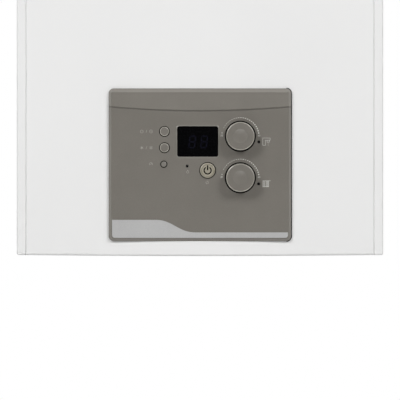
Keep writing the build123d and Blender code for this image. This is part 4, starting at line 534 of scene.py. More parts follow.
def screw_head(bm, place, axis, radius, height):
    """A domed screw head with a round socket in it."""
    socket = 0.42 * radius
    profile = [
        (0, 0), (radius, 0), (radius, 0.45 * height), (0.88 * radius, 0.8 * height),
        (0.62 * radius, height), (socket, height), (socket, 0.35 * height), (0, 0.25 * height),
    ]
    turned(bm, place, axis, profile, steps=24)


def around(count, radius, start=0.0):
    """Offsets to places round a circle that faces forward, from an angle in degrees."""
    turns = [radians(start) + 2 * pi * step / count for step in range(count)]
    return [rightward * radius * cos(turn) + upward * radius * sin(turn) for turn in turns]


# %% [markdown]
# ## Print on the fascia
# The dial scales and symbols are screen-printed in light grey. A print is a raised film of ink,
# so each line is a thin flattened cord: a curve with a round bevel, turned into a mesh and then
# pressed flat. That gives clean corners and round joints, and it is real geometry, so it would
# stay if the model were exported.

# %% Ink lines
ink_height = 0.05
ink = moulded("light_grey_ink", "#c8c8c3", 0.55)
faint_ink = moulded("mid_grey_ink", "#a3a19b", 0.55)
dark_ink = moulded("black_ink", "#060606", 0.9, Specular_IOR_Level=0.1)


def face_place(name):
    """Where a node stands on the fascia: to the right of its middle, and up from it."""
    centre = middle(name)
    return centre.x, centre.z - fascia_centre


def arc_points(centre, radius, start, end, steps=16):
    """Points along an arc, in degrees from the right and counter-clockwise."""
    turns = [radians(start + (end - start) * step / steps) for step in range(steps + 1)]
    return [(centre[0] + radius * cos(turn), centre[1] + radius * sin(turn)) for turn in turns]


def shifted(strokes, place):
    """The same strokes about another place."""
    return [[(place[0] + x, place[1] + y) for x, y in stroke] for stroke in strokes]


# %% [markdown]
# A stroke becomes a printed line in two steps: Blender turns its curve into a mesh, and the mesh is
# flattened and laid on the fascia's face.

# %% From strokes to flat lines
def press(bm, curve, matrix):
    """Turn a curve into a mesh, place it, and add it to a bmesh."""
    holder = bpy.data.objects.new("curve", curve)
    mesh = bpy.data.meshes.new_from_object(holder)
    mesh.transform(matrix)
    bm.from_mesh(mesh)
    bpy.data.objects.remove(holder)
    bpy.data.curves.remove(curve)
    bpy.data.meshes.remove(mesh)


def flat_lines(bm, strokes, width, proud, height=ink_height):
    """Add flattened lines through points on the fascia."""
    curve = bpy.data.curves.new("strokes", "CURVE")
    curve.dimensions = "3D"
    curve.bevel_depth = width / 2
    curve.bevel_resolution = 1
    curve.use_fill_caps = True
    for stroke in strokes:
        line = curve.splines.new("POLY")
        line.points.add(len(stroke) - 1)
        for point, (right, up) in zip(line.points, stroke):
            point.co = (right, 0.0, up, 1.0)
    flatten = Matrix.Diagonal((1.0, 2 * height / width, 1.0, 1.0))
    press(bm, curve, Matrix.Translation(on_face(0, 0, proud)) @ flatten)


def printed(name, strokes, width, material=ink, body="boiler", slot="silver_lacquer", proud=0.0):
    """A printed symbol made of lines of one width."""
    bm = bmesh.new()
    flat_lines(bm, strokes, width, proud)
    make_piece(name, bm, slot, body, material)


# %% [markdown]
# ### Dial scales
# Each dial has a row of dashes over its top that grow wider from the cold end to the hot end,
# with one dot and a plain number where they start and a number where they end. A dash is a thin
# block laid along the circle.

# %% Dial scales
dials = {
    "hot_water_knob": ("hot_water_scale", "35", "60"),
    "heating_knob": ("heating_scale", "30", "80"),
}
scale_radius = 20.3
dash_count = 21
dash_length = 1.35
thin_dash = 0.4
wide_dash = 1.25
dash_start = 152.0
dash_end = 10.0
cold_dot = (-20.0, 3.7)
cold_dot_radius = 0.5
digit_share = 0.7           # a digit's height as a share of its font size
number_size = 1.9 / digit_share
number_place = 20.4
number_rise = 0.6


def add_number(bm, text, right, up):
    """Add a printed number, centred on a place on the fascia."""
    writing = bpy.data.curves.new("number", "FONT")
    writing.body = text
    writing.size = number_size
    writing.align_x = "CENTER"
    writing.align_y = "CENTER"
    writing.extrude = ink_height
    press(bm, writing, Matrix.Translation(on_face(right, up)) @ Matrix.Rotation(pi / 2, 4, "X"))


# %% [markdown]
# Each scale is one piece, made of its dashes, its dot and its two numbers.

# %% Both scales
for knob, (scale_name, low_number, high_number) in dials.items():
    right, up = face_place(knob)
    bm = bmesh.new()
    for step in range(dash_count):
        share = step / (dash_count - 1)
        turn = radians(dash_start + (dash_end - dash_start) * share)
        width = thin_dash + (wide_dash - thin_dash) * share**1.5
        place = on_face(right + scale_radius * cos(turn), up + scale_radius * sin(turn))
        along = Matrix.Rotation(-(turn + pi / 2), 4, "Y")
        size = Matrix.Diagonal((dash_length, 2 * ink_height, width, 1.0))
        made = bmesh.ops.create_cube(bm, size=1.0, matrix=Matrix.Translation(place) @ along @ size)
        soften(bm, made["verts"], ink_height / 2, segments=1)
    dot = on_face(right + cold_dot[0], up + cold_dot[1])
    turned(bm, dot, forward, [(0, ink_height), (cold_dot_radius, ink_height), (cold_dot_radius, 0)], 12)
    for side, number in ((-1, low_number), (1, high_number)):
        add_number(bm, number, right + side * number_place, up + number_rise)
    make_piece(scale_name, bm, "silver_lacquer", material=ink)

# %% [markdown]
# ### Symbols
# A tap stands beside the hot-water dial and a radiator beside the heating dial. The other signs
# are general ones, small and in a fainter grey: a clock and a house, a sun and a snow star for
# the season, a pressure gauge, a flame, and a round arrow for the reset.

# %% Symbols beside the dials and lamps
sign_line = 0.42
fine_line = 0.4
tap_place = (72.2, 25.2)
radiator_place = (71.6, -20.8)
flame_place = (-13.5, -7.5)
tap_strokes = [
    [(-3.9, -4.0), (-3.9, 3.9), (4.2, 3.9), (4.2, 1.5), (-0.9, 1.5), (-0.9, -4.0), (-3.9, -4.0)],
    [(0.9, 1.5), (0.9, -0.7), (3.3, -0.7), (3.3, 1.5)],
    [(2.1, -2.0), (2.1, -2.5)],
    [(2.1, -3.6), (2.1, -4.1)],
]
printed("tap_symbol", shifted(tap_strokes, tap_place), sign_line)
fin_strokes = [[(x, -3.6), (x, 3.2)] for x in (-3.1, -2.0, -0.9, 0.9, 2.0, 3.1)]
rail_strokes = [[(-3.4, 3.3), (5.2, 3.3)], [(-3.4, -2.9), (3.4, -2.9)]]
printed("radiator_symbol", shifted(fin_strokes + rail_strokes, radiator_place), sign_line)
flame_stroke = [
    (0.0, 1.7), (0.8, 0.7), (1.2, -0.3), (1.0, -1.2), (0.3, -1.7), (-0.5, -1.6), (-1.1, -0.9),
    (-1.0, 0.0), (-0.5, 0.5), (-0.3, 1.0), (0.0, 1.7),
]
printed("flame_symbol", shifted([flame_stroke], flame_place), fine_line, faint_ink)

# %% [markdown]
# Each sign is a few strokes about its own middle, and a table says which signs stand beside which
# key. A slash parts the two signs of a pair.

# %% Symbols beside the keys
eighths = [radians(45 * step) for step in range(8)]
thirds = [radians(30 + 60 * step) for step in range(3)]
clock = [arc_points((0, 0), 1.7, 0, 360), [(0, 1.0), (0, 0), (0.8, -0.5)]]
house = [[(-1.9, 0.2), (0, 1.8), (1.9, 0.2)], [(-1.3, 0.5), (-1.3, -1.6), (1.3, -1.6), (1.3, 0.5)]]
sun = [arc_points((0, 0), 0.85, 0, 360)]
sun += [[(1.25 * cos(a), 1.25 * sin(a)), (1.85 * cos(a), 1.85 * sin(a))] for a in eighths]
snow = [[(-1.8 * cos(a), -1.8 * sin(a)), (1.8 * cos(a), 1.8 * sin(a))] for a in thirds]
gauge = [arc_points((0, 0), 1.7, -30, 210), [(0, 0), (0.9, 0.9)], arc_points((0, 0), 0.3, 0, 360, 8)]
slash = [[(-0.5, -1.6), (0.5, 1.6)]]
reset = [arc_points((0, 0), 1.4, 130, 410), [(-0.1, 1.8), (0.9, 1.05), (0.0, 0.4)]]
near_sign, slash_place, far_sign = -53.4, -58.4, -63.4
key_signs = {
    "comfort_symbols": (36.3, [(clock, near_sign), (slash, slash_place), (house, far_sign)]),
    "season_symbols": (18.5, [(sun, near_sign), (slash, slash_place), (snow, far_sign)]),
    "pressure_symbol": (0.6, [(gauge, near_sign)]),
    "reset_symbol": (-19.4, [(reset, 7.8)]),
}
for name, (up, signs) in key_signs.items():
    strokes = [stroke for sign, right in signs for stroke in shifted(sign, (right, up))]
    printed(name, strokes, fine_line, faint_ink)

# %% [markdown]
# ### Black rings in the gaps round the knobs and keys
# A ring of black sponge rubber lies in the gap round each knob and key. Its black is painted shade:
# it stands in for the shade deep in the gap, so every control stands in a crisp black outline.
# Sponge has almost no gloss, so its mirror reflection is turned down.

# %% Black rings of painted shade
key_fit = 0.06
ring_drop = 0.5
ring_depth = 1.2
knob_well = (15.7, 17.0)
key_hole = (4.9, 5.9)
power_hole = (8.2, 9.1)
lens_hole = (3.0, 4.0)
lens_place = (-39.4, 0.6)
# This near-black sponge is painted shade, laid in the gaps round the controls and round the fascia.
sponge = moulded("shade_black_sponge", "#060606", 0.9, grain=0.7, depth=0.1, Specular_IOR_Level=0.1)
rings = [(face_place(name), hole, 3 * key_fit, 64) for name, hole in (
    ("hot_water_knob", knob_well), ("heating_knob", knob_well), ("upper_button", key_hole),
    ("lower_button", key_hole), ("power_button", power_hole),
)]
rings.append((lens_place, lens_hole, key_fit, 48))
bm = bmesh.new()
for place, (inner, outer), fit, steps in rings:
    ring(
        bm, on_face(*place), forward, inner + fit, outer - key_fit, -ring_drop - ring_depth, -ring_drop,
        edge=0.15, steps=steps,
    )
make_piece("painted_shade_rings", bm, "seal_rubber", material=sponge)

# %% [markdown]
# Two fine rings turn with each knob: one where the dish in its face ends, and a thin ring of light
# lacquer on its rounded edge, which is a painted highlight. The two small keys carry the same
# painted highlight.

# %% Painted highlight rings and dish rings
dish_rim = 7.75
dish_ring = (dish_rim - 0.1, dish_rim + 0.5)
dish_ring_rise = 0.1
knob_highlight_ring = (14.92, 0.38)
key_highlight_ring = (4.6, 0.25)
highlight_wire = 0.26
wire_turns = (0.8, 2.4, 3.9, 5.5)
# This light lacquer is a painted highlight on the rounded edges of the knobs and keys.
bright_trim = flake_lacquer("bright_trim", "#c2beb2")
for name, body, (radius, drop) in (
    ("hot_water_knob", "hot_water_dial", knob_highlight_ring), ("heating_knob", "heating_dial", knob_highlight_ring),
    ("upper_button", "upper_key", key_highlight_ring), ("lower_button", "lower_key", key_highlight_ring),
):
    centre = middle(name)
    place = Vector((centre.x, corners(name)[0].y, centre.z))
    bm = bmesh.new()
    wire = [(radius + highlight_wire * cos(turn), highlight_wire * sin(turn) - drop) for turn in wire_turns]
    turned(bm, place, forward, wire, 64, closed=True)
    make_piece(name + "_trim", bm, "button_plastic", body, bright_trim, sharp=100)
    if name.endswith("knob"):
        bm = bmesh.new()
        ring(bm, place, forward, *dish_ring, -dish_ring_rise, dish_ring_rise, edge=0.09, steps=64)
        make_piece(name + "_dish_ring", bm, "knob_plastic", body)

# %% [markdown]
# ### Power key
# The power sign is printed in black on the key itself, inside a fine raised ring, so both ride on
# the key and go in with it when it is pressed.

# %% Power sign and ring
power_place = face_place("power_button")
power_proud = face_y - corners("power_button")[0].y
power_line = 1.5
power_sign = [arc_points((0, 0), 3.8, 122, 418, 24), [(0, 5.6), (0, 0.2)]]
printed(
    "power_symbol", shifted(power_sign, power_place), power_line, dark_ink, "power_key",
    "display_glass", power_proud,
)
ring_inner = 6.2
ring_outer = 7.2
ring_height = 0.3
bm = bmesh.new()
place = on_face(*power_place, power_proud)
ring(bm, place, forward, ring_inner, ring_outer, -ring_height, ring_height, edge=0.25, steps=48)
power_ring_lacquer = flake_lacquer("power_ring_lacquer", "#8b8675")
make_piece("power_ring", bm, "power_plastic", "power_key", power_ring_lacquer)

# %% [markdown]
# ### The display
# Two seven-segment digits are just visible behind the dark panel while it is off. A fine bevel
# frames the panel. Its lacquer is a little lighter than the fascia's: a painted highlight on top
# of the light that its slopes catch.

# %% Display digits
window_low, window_high = corners("display_window")
window_place = face_place("display_window")
window_proud = face_y - window_low.y
segment_ink = moulded("unlit_segment", "#131320", 0.12, depth=0.0)
digit_width = 6.2
digit_height = 12.6
digit_slant = 0.12
digit_pitch = 12.9
digit_shift = (0.5, -0.4)
segment_width = 1.1
segment_gap = 0.75
segment_height = 0.01
half_width, half_height = digit_width / 2, digit_height / 2
segments = [
    [(-half_width + segment_gap, level), (half_width - segment_gap, level)]
    for level in (-half_height, 0.0, half_height)
] + [
    [(side * half_width, base + segment_gap), (side * half_width, base + half_height - segment_gap)]
    for side in (-1, 1) for base in (-half_height, 0.0)
]
leaning = [[(x + digit_slant * y, y) for x, y in stroke] for stroke in segments]
digit_strokes = []
for column in (-0.5, 0.5):
    across = window_place[0] + digit_shift[0] + column * digit_pitch
    digit_strokes += shifted(leaning, (across, window_place[1] + digit_shift[1]))
bm = bmesh.new()
flat_lines(bm, digit_strokes, segment_width, window_proud, segment_height)
make_piece("display_digits", bm, "display_glass", material=segment_ink)

# %% [markdown]
# The bezel's section has four corners. Each corner is one rounded loop of edges round the panel,
# and each loop is bridged to the next.

# %% Display bezel
bezel_width = 1.1
bezel_proud = 0.35
bezel_foot = -0.05
bezel_corner = 2.4
bezel_gap = 0.15


def rounded_loop(bm, half_x, half_z, corner, centre, proud, steps=6):
    """A loop of edges in the shape of a rounded rectangle on the fascia."""
    points = []
    for start, side_x, side_z in ((0, 1, 1), (90, -1, 1), (180, -1, -1), (270, 1, -1)):
        pivot = (side_x * (half_x - corner), side_z * (half_z - corner))
        points += arc_points(pivot, corner, start, start + 90, steps)
    verts = [bm.verts.new(on_face(centre[0] + x, centre[1] + z, proud)) for x, z in points]
    return [bm.edges.new(pair) for pair in zip(verts, verts[1:] + verts[:1])]


def bridge_round(bm, loops):
    """Bridge each loop to the next and the last to the first."""
    for inner, outer in zip(loops, loops[1:] + loops[:1]):
        bmesh.ops.bridge_loops(bm, edges=inner + outer)


bm = bmesh.new()
half_x = (window_high.x - window_low.x) / 2 + bezel_gap
half_z = (window_high.z - window_low.z) / 2 + bezel_gap
loops = [
    rounded_loop(bm, half_x + grow, half_z + grow, bezel_corner + grow, window_place, proud)
    for grow, proud in (
        (0.0, -bezel_proud), (0.0, bezel_proud), (bezel_width / 2, bezel_proud),
        (bezel_width, bezel_foot),
    )
]
bridge_round(bm, loops)
# The bezel's lighter lacquer is partly a painted highlight; its slopes catch real light too.
bezel_highlight_lacquer = flake_lacquer("bezel_highlight_lacquer", "#7d7a73")
make_piece("display_bezel", bm, "button_plastic", material=bezel_highlight_lacquer, sharp=60)

# %% [markdown]
# ## Foam beads in the case seams
# A white foam bead lies in the gap between the front panel and each side panel. It is flush with
# the flanges, so the seams look like faint lines rather than black slots. Its foam is a little
# brighter than the panel's paint: painted light that lifts the shade left in the seams.

# %% Seam beads
panel_low, panel_high = corners("front_panel")
side_low, side_high = corners("right_side_panel")
bead_width = 0.56
bead_depth = 12.0
bead_inset = 1.5
# The foam is brighter than the panel's paint, as painted light against the shade in the seams.
seam_light_foam = moulded("painted_light_foam_bead", "#f4f4f4", 0.7, grain=1.2, depth=0.05)
bead_length = side_high.z - side_low.z - 2 * bead_inset
seam_middle = (panel_high.x + side_low.x) / 2
for side, name in ((-1, "left_seam_bead"), (1, "right_seam_bead")):
    bm = bmesh.new()
    centre = Vector((side * seam_middle, side_low.y + bead_depth / 2, (side_low.z + side_high.z) / 2))
    block(bm, centre, (bead_width, bead_depth, bead_length), edge=0.05)
    make_piece(name, bm, "white_enamel", material=seam_light_foam)

# %% [markdown]
# The panel's aperture has a thin white lip that nearly touches the fascia at its left, top and
# foot, and behind it lies a black sponge gasket, whose black is painted shade in the gap. The
# panel is crowned, so both follow the crown: each loop of edges is laid out flat, its long sides
# are cut into short ones, and every point then takes the depth of the panel where it stands. One
# cut removes the lip at the right, where the black gasket shows as a line of painted shade and
# folds over the panel's edge.

# %% Loops that follow the crown
crown_half = panel_high.x
crown_rise = side_low.y - panel_low.y
crown_radius = (crown_half**2 + crown_rise**2) / (2 * crown_rise)
fascia_corner = 5.0
long_side = 20.0
crown_cuts = 16


def crowned_loop(bm, grow, drop):
    """A loop of edges round the fascia that lies a little below the crowned panel."""
    known = set(bm.edges)
    half_x = fascia_high.x + grow
    half_z = (header_high.z - fascia_low.z) / 2 + grow
    sides = rounded_loop(bm, half_x, half_z, fascia_corner + grow, (0, 0), 0.0, 8)
    sides = [edge for edge in sides if edge.calc_length() > long_side]
    bmesh.ops.subdivide_edges(bm, edges=sides, cuts=crown_cuts)
    loop = [edge for edge in bm.edges if edge not in known]
    for vert in {vert for edge in loop for vert in edge.verts}:
        vert.co.y = panel_low.y + crown_radius - (crown_radius**2 - vert.co.x**2) ** 0.5 + drop
    return loop


# %% [markdown]
# Each of the three pieces has a plain rectangular section, and its four corners are four loops.

# %% Lip, and the folded edge and gasket of painted shade
lip = (0.2, 0.58, 0.05, 0.9)            # inner and outer edge, front and rear
# The fold and the gasket are black sponge: painted shade in the gap round the fascia.
shade_fold_section = (0.58, 1.0, -0.1, 0.6)
shade_gasket_section = (0.03, 0.58, 1.1, 2.4)
for name, slot, material, (inner, outer, front, rear), kept_side in (
    ("aperture_lip", "white_enamel", None, lip, 1),
    ("shade_gasket_edge", "seal_rubber", sponge, shade_fold_section, -1),
    ("aperture_shade_gasket", "seal_rubber", sponge, shade_gasket_section, 0),
):
    bm = bmesh.new()
    section = [(inner, rear), (inner, front), (outer, front), (outer, rear)]
    bridge_round(bm, [crowned_loop(bm, grow, drop) for grow, drop in section])
    if kept_side:
        cut = bmesh.ops.bisect_plane(
            bm, geom=bm.verts[:] + bm.edges[:] + bm.faces[:], clear_outer=True,
            plane_co=(fascia_high.x - fascia_corner, 0, 0), plane_no=(kept_side, 0, 0),
        )
        cut_edges = [item for item in cut["geom_cut"] if isinstance(item, bmesh.types.BMEdge)]
        bmesh.ops.holes_fill(bm, edges=cut_edges)
    make_piece(name, bm, slot, "front_cover", material)

# %% [markdown]
# A dark grey cord lies in the curved seam under the header. Its colour is painted shade, so
# that the seam reads as a fine dark line.

# %% Header seam cord of painted shade
seam_ends = 63.2
seam_sag = 4.7
seam_half = fascia_high.x
seam_radius = (seam_half**2 + seam_sag**2) / (2 * seam_sag)
cord_half = seam_half - 1.6
cord_width = 0.74
cord_height = 0.35
cord_drop = 0.75
cord_steps = 24
cord_points = []
for step in range(-cord_steps, cord_steps + 1):
    x = cord_half * step / cord_steps
    cord_points.append((x, seam_ends + seam_radius - seam_sag - (seam_radius**2 - x**2) ** 0.5))
bm = bmesh.new()
flat_lines(bm, [cord_points], cord_width, -cord_drop, cord_height)
# The cord's dark grey is painted shade for the seam under the header.
seam_shade_cord = moulded("painted_seam_shade", "#5d5a55", 0.7)
make_piece("header_seam_shade_cord", bm, "fascia_plastic", material=seam_shade_cord)

# %% [markdown]
# ## The insulation pad
# A blanket of mineral felt is stitched and glued behind the front panel. The model holds its
# place as a plain solid. The real blanket bulges between its rows of stitches and its edges are
# rounded off, so a copy of the solid is remeshed into small even faces, each point is moved by
# how near it is to a stitch line, and a little noise makes the felt uneven.

# %% Pad from the plain solid
pad_voxel = 5.0
pad_rows = 5
pad_columns = 4
stitch_depth = 2.6
deepest_dip = 1.3 * stitch_depth
stitch_reach = 9.0
lump_size = 26.0
lump_height = 0.5
smoothings = 2
pad_low, pad_high = corners("front_panel_insulation")


def solid_copy(node_name, voxel):
    """A remeshed bmesh of a node, in millimetres."""
    source = nodes[node_name].data.copy()
    bm = bmesh.new()
    bm.from_mesh(source)
    bmesh.ops.remove_doubles(bm, verts=bm.verts, dist=merge_distance)
    bm.to_mesh(source)
    bm.free()
    holder = bpy.data.objects.new("remesh", source)
    scene.collection.objects.link(holder)
    remesh = holder.modifiers.new("remesh", "REMESH")
    remesh.mode = "VOXEL"
    remesh.voxel_size = voxel * mm
    shape = holder.evaluated_get(bpy.context.evaluated_depsgraph_get())
    bm = bmesh.new()
    bm.from_mesh(shape.to_mesh())
    shape.to_mesh_clear()
    bpy.data.objects.remove(holder)
    bpy.data.meshes.remove(source)
    bmesh.ops.scale(bm, verts=bm.verts, vec=(1 / mm, 1 / mm, 1 / mm))
    return bm


def nearest_line(value, low, high, count):
    """The distance to the nearest of some evenly spaced lines inside a span."""
    return min(abs(value - low - (high - low) * step / count) for step in range(1, count))


# %% [markdown]
# The side of the blanket that faces the wall sinks towards the stitches. Smoothing it sideways only
# evens out its faces and keeps the bulges.

# %% Quilt the pad
bm = solid_copy("front_panel_insulation", pad_voxel)
bm.normal_update()
for vert in bm.verts:
    facing_wall = max(0.0, vert.normal.y)
    across = nearest_line(vert.co.x, pad_low.x, pad_high.x, pad_columns)
    along = nearest_line(vert.co.z, pad_low.z, pad_high.z, pad_rows)
    dip = stitch_depth * (exp(-(across / stitch_reach) ** 2) + exp(-(along / stitch_reach) ** 2))
    lump = lump_height * noise.noise(vert.co / lump_size)
    vert.co.y -= facing_wall * (min(dip, deepest_dip) + lump + lump_height)
for turn in range(smoothings):
    bmesh.ops.smooth_vert(
        bm, verts=bm.verts, factor=0.5, use_axis_x=True, use_axis_y=False, use_axis_z=True,
    )
pad = make_piece("insulation_pad", bm, "insulation_felt", "front_cover", sharp=80)
finer = pad.modifiers.new("finer", "SUBSURF")
finer.levels = 1
finer.render_levels = 1
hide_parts("front_panel_insulation")

# %% [markdown]
# ## Threads on the pipe stubs
# Each connection under the case ends in a parallel pipe thread, fourteen turns to the inch. A
# thread is one triangle turned along a helix. Spinning a face keeps both of its ends closed, so
# the thread is a solid ridge round the stub.

# %% Threads
pipe_pitch = 65.0
stub_depth = 110.0
plate_low, plate_high = corners("bottom_plate")
stub_foot = corners("gas_pipes")[0].z
large_radius = 13.2
small_radius = 10.45
thread_pitch = 1.814
thread_height = 0.42
thread_root = 0.1           # how far the ridge reaches into the stub
thread_neck = 8.0           # plain neck of each stub under the plate
thread_end = 1.0            # plain end of each stub
thread_steps = 20


def thread(bm, place, axis, radius, length):
    """A ridge along a helix, with both ends closed."""
    side = axis.orthogonal().normalized()
    foot, crest = radius - thread_root, radius + thread_height
    section = ((foot, 0.0), (crest, 0.46 * thread_pitch), (foot, 0.92 * thread_pitch))
    face = bm.faces.new([bm.verts.new(place + side * out + axis * rise) for out, rise in section])
    turns = int(length / thread_pitch) - 1
    bmesh.ops.spin(
        bm, geom=[face, *face.edges, *face.verts], cent=place, axis=axis, angle=2 * pi * turns,
        steps=thread_steps * turns, dvec=axis * (thread_pitch / thread_steps), use_merge=False,
    )


# %% [markdown]
# Three of the connections are large and two are small. Each thread has the finish of its own stub.

# %% One thread on each stub
stubs = {
    "flow_stub": (-2 * pipe_pitch, large_radius, "group_composite"),
    "hot_water_stub": (-pipe_pitch, small_radius, "group_composite"),
    "gas_stub": (0.0, large_radius, "gas_pipe_coating"),
    "cold_water_stub": (pipe_pitch, small_radius, "group_composite"),
    "return_stub": (2 * pipe_pitch, large_radius, "group_composite"),
}
thread_top = plate_low.z - thread_neck
for name, (x, radius, slot) in stubs.items():
    bm = bmesh.new()
    place = Vector((x, -stub_depth, thread_top))
    thread(bm, place, downward, radius, thread_top - stub_foot - thread_end)
    make_piece(name + "_thread", bm, slot, sharp=50)

# %% [markdown]
# Each stub also gets a rubber sleeve where it passes through the bottom plate, which keeps room
# air out of the case. The sleeve is a lipped ring that is turned in one go.

# %% Pipe sleeves
sleeve_lip = 4.2
sleeve_height = 3.6
trap_spout = (190.0, 10.75)             # distance from the wall, and radius
discharge_pipe = (172.0, 7.5)
sleeve_places = [(x, stub_depth, radius) for x, radius, slot in stubs.values()]
sleeve_places.append((middle("condensate_trap").x, *trap_spout))
sleeve_places.append((middle("relief_valve").x, *discharge_pipe))
bm = bmesh.new()
for x, depth, radius in sleeve_places:
    profile = [
        (radius, 0.0), (radius + sleeve_lip, 0.0), (radius + sleeve_lip, 0.9), (radius + 1.8, 1.5),
        (radius + 1.5, sleeve_height), (radius + 0.6, sleeve_height + 0.5), (radius, sleeve_height),
    ]
    turned(bm, Vector((x, -depth, plate_low.z)), downward, profile, 40, closed=True)
make_piece("pipe_sleeves", bm, "seal_rubber")

# %% [markdown]
# ## Unions and clips
# Copper pipes meet the groups with union nuts, and the condensate hose is held on its two
# spigots by clips. A worm-drive clip is a thin band with a small housing and its screw.

# %% Union nuts
port_x = 75.0
water_port_foot = -275.0
pump_boss_top = -507.0
vessel_port = (110.0, 46.0, -307.2)
expansion_foot = (110.0, 75.0, -599.0)
nut_gap = 0.5
large_nut = (16.6, 13.0)
small_nut = (9.8, 10.0)
nut_places = [
    ((2 * pipe_pitch, stub_depth, pump_boss_top + nut_gap), upward, large_nut),
    ((port_x, stub_depth, water_port_foot - nut_gap), downward, large_nut),
    ((-port_x, stub_depth, water_port_foot - nut_gap), downward, large_nut),
    (vessel_port, downward, small_nut),
    (expansion_foot, upward, small_nut),
]
bm = bmesh.new()
for (x, depth, z), axis, (radius, height) in nut_places:
    place = Vector((x, -depth, z))
    nut(bm, place, axis, radius, height)
    collar = [(0.62 * radius, 0), (0.8 * radius, 0), (0.74 * radius, 3.5), (0.62 * radius, 3.5)]
    turned(bm, place + axis * height, axis, collar, closed=True)
make_piece("union_nuts", bm, "brass")

# %% [markdown]
# One more nut stands under the gas valve, and another where the gas pipe enters the case.

# %% Gas unions
gas_low, gas_high = corners("gas_valve")
gas_x = (gas_low.x + gas_high.x) / 2
fan_depth = 209.0
entry_drop = 17.0
gas_nut = (15.5, 12.0)
bm = bmesh.new()
nut(bm, Vector((gas_x, -fan_depth, gas_low.z - gas_nut[1] - nut_gap)), upward, *gas_nut)
nut(bm, Vector((0, -stub_depth, plate_high.z - entry_drop)), upward, *gas_nut)
make_piece("gas_unions", bm, "brass")

# %% [markdown]
# The clips stand a clip's width from each end of the hose, with their screws towards the right,
# where a screwdriver can reach them.

# %% Hose clips
hose_radius = 10.0
clip_width = 9.0
clip_wall = 0.9
clip_fit = 0.05
housing_rise = 2.6
screw_start = 4.4
spigot_x = (-75.0, -160.0)              # at the hose's top and at its foot
hose_low, hose_high = corners("condensate_hose")
hose_y = middle("condensate_hose").y


def worm_clip(bm, place):
    """A band round a hose, with a housing in front and its screw at the right."""
    ring(
        bm, place, upward, hose_radius + clip_fit, hose_radius + clip_wall, -clip_width / 2,
        clip_width / 2, edge=0.25,
    )
    housing = place + forward * (hose_radius + housing_rise)
    block(bm, housing, (9.0, 9.0, clip_width - 1.0), edge=1.0)
    screw_head(bm, housing + rightward * screw_start, rightward, 3.2, 3.4)


bm = bmesh.new()
worm_clip(bm, Vector((spigot_x[0], hose_y, hose_high.z - clip_width)))
worm_clip(bm, Vector((spigot_x[1], hose_y, hose_low.z + clip_width)))
make_piece("hose_clips", bm, "stainless_steel")

# %% [markdown]
# ## Fittings on the combustion parts
# The burner door has a small sight glass, the vessel its charging valve under a cap, and the duct,
# gas valve and pump are held by socket screws. All of them are turned shapes on known faces.

# %% Sight glass
door_y = corners("burner_door")[0].y
door_middle = middle("burner_door")
glass_rise = 64.0
clamp_x = 12.5
clamp_screw_x = 14.0
clamp_height = 2.4
sight = Vector((0.0, door_y, door_middle.z + glass_rise))
bm = bmesh.new()
ring(bm, sight, forward, 6.0, 11.0, -2.2, 4.0, edge=0.8)
for side in (-1, 1):
    clamp = sight + rightward * side * clamp_x + forward * clamp_height / 2
    block(bm, clamp, (9.0, clamp_height, 8.0), edge=0.8)
    screw = sight + rightward * side * clamp_screw_x + forward * clamp_height
    screw_head(bm, screw, forward, 2.6, 1.8)
make_piece("sight_glass_ring", bm, "stainless_steel")
bm = bmesh.new()
turned(bm, sight, forward, [(0, 2.2), (4.0, 2.0), (6.1, 1.5), (6.1, -0.5)], 40)
sight_glass = dark_panel("smoked_glass", "#20140c")
make_piece("sight_glass", bm, "display_glass", material=sight_glass)

# %% [markdown]
# The vessel is charged with air through a small valve, as a tyre is, under a ribbed cap.

# %% Charging valve
valve_profile = [(7.5, -0.6), (7.5, 1.2), (5.0, 2.0), (3.9, 2.4), (3.9, 12.0), (0, 12.0)]
cap_radius = 5.4
cap_profile = [(4.1, 0), (cap_radius, 0.3), (cap_radius, 7.6), (4.4, 8.6), (0, 8.8)]
cap_start = 6.5
ribs = 12
rib_middle = 10.4
valve_place = Vector((-96.0, corners("expansion_vessel")[0].y, -96.0))
bm = bmesh.new()
turned(bm, valve_place, forward, valve_profile)
make_piece("charging_valve", bm, "brass")
bm = bmesh.new()
turned(bm, valve_place + forward * cap_start, forward, cap_profile)
for offset in around(ribs, cap_radius):
    block(bm, valve_place + offset + forward * rib_middle, (0.8, 6.0, 0.8), edge=0.2)
make_piece("charging_valve_cap", bm, "black_plastic")

# %% [markdown]
# The screws stand on the flanges at both ends of the air and gas duct, on the pump motor's face
# and on the gas valve's face, so most of their places are measured from those nodes.

# %% Socket screws
duct_flange = 4.0
duct_foot = corners("air_gas_duct")[0].z
duct_bolt_circle = 29.0
duct_depth = 249.0
duct_screws = (20.5, 18.5)
pump_y = corners("pump_motor")[0].y
pump_middle = middle("pump_motor")
pump_bolt = 35.2
valve_face = -237.0
valve_corner = 6.0
bm = bmesh.new()
for offset in around(4, duct_bolt_circle, start=45):
    duct_end = Vector((0, door_y - duct_flange, door_middle.z))
    screw_head(bm, duct_end + offset, forward, 3.6, 3.4)
for side_x, side_y in four_corners:
    place = (side_x * duct_screws[0], side_y * duct_screws[1] - duct_depth, duct_foot + duct_flange)
    screw_head(bm, Vector(place), upward, 3.0, 3.0)
for side_x, side_z in four_corners:
    place = (pump_middle.x + side_x * pump_bolt, pump_y, pump_middle.z + side_z * pump_bolt)
    screw_head(bm, Vector(place), forward, 2.8, 1.6)
for x in (gas_low.x + valve_corner, gas_high.x - valve_corner):
    for z in (gas_low.z + valve_corner, gas_high.z - valve_corner):
        screw_head(bm, Vector((x, valve_face, z)), forward, 2.2, 1.6)
make_piece("socket_screws", bm, "zinc_fixings")

# %% [markdown]
# A large brass screw in the middle of the pump lets air out, and two brass nipples on the gas
# valve take a pressure gauge's hose.

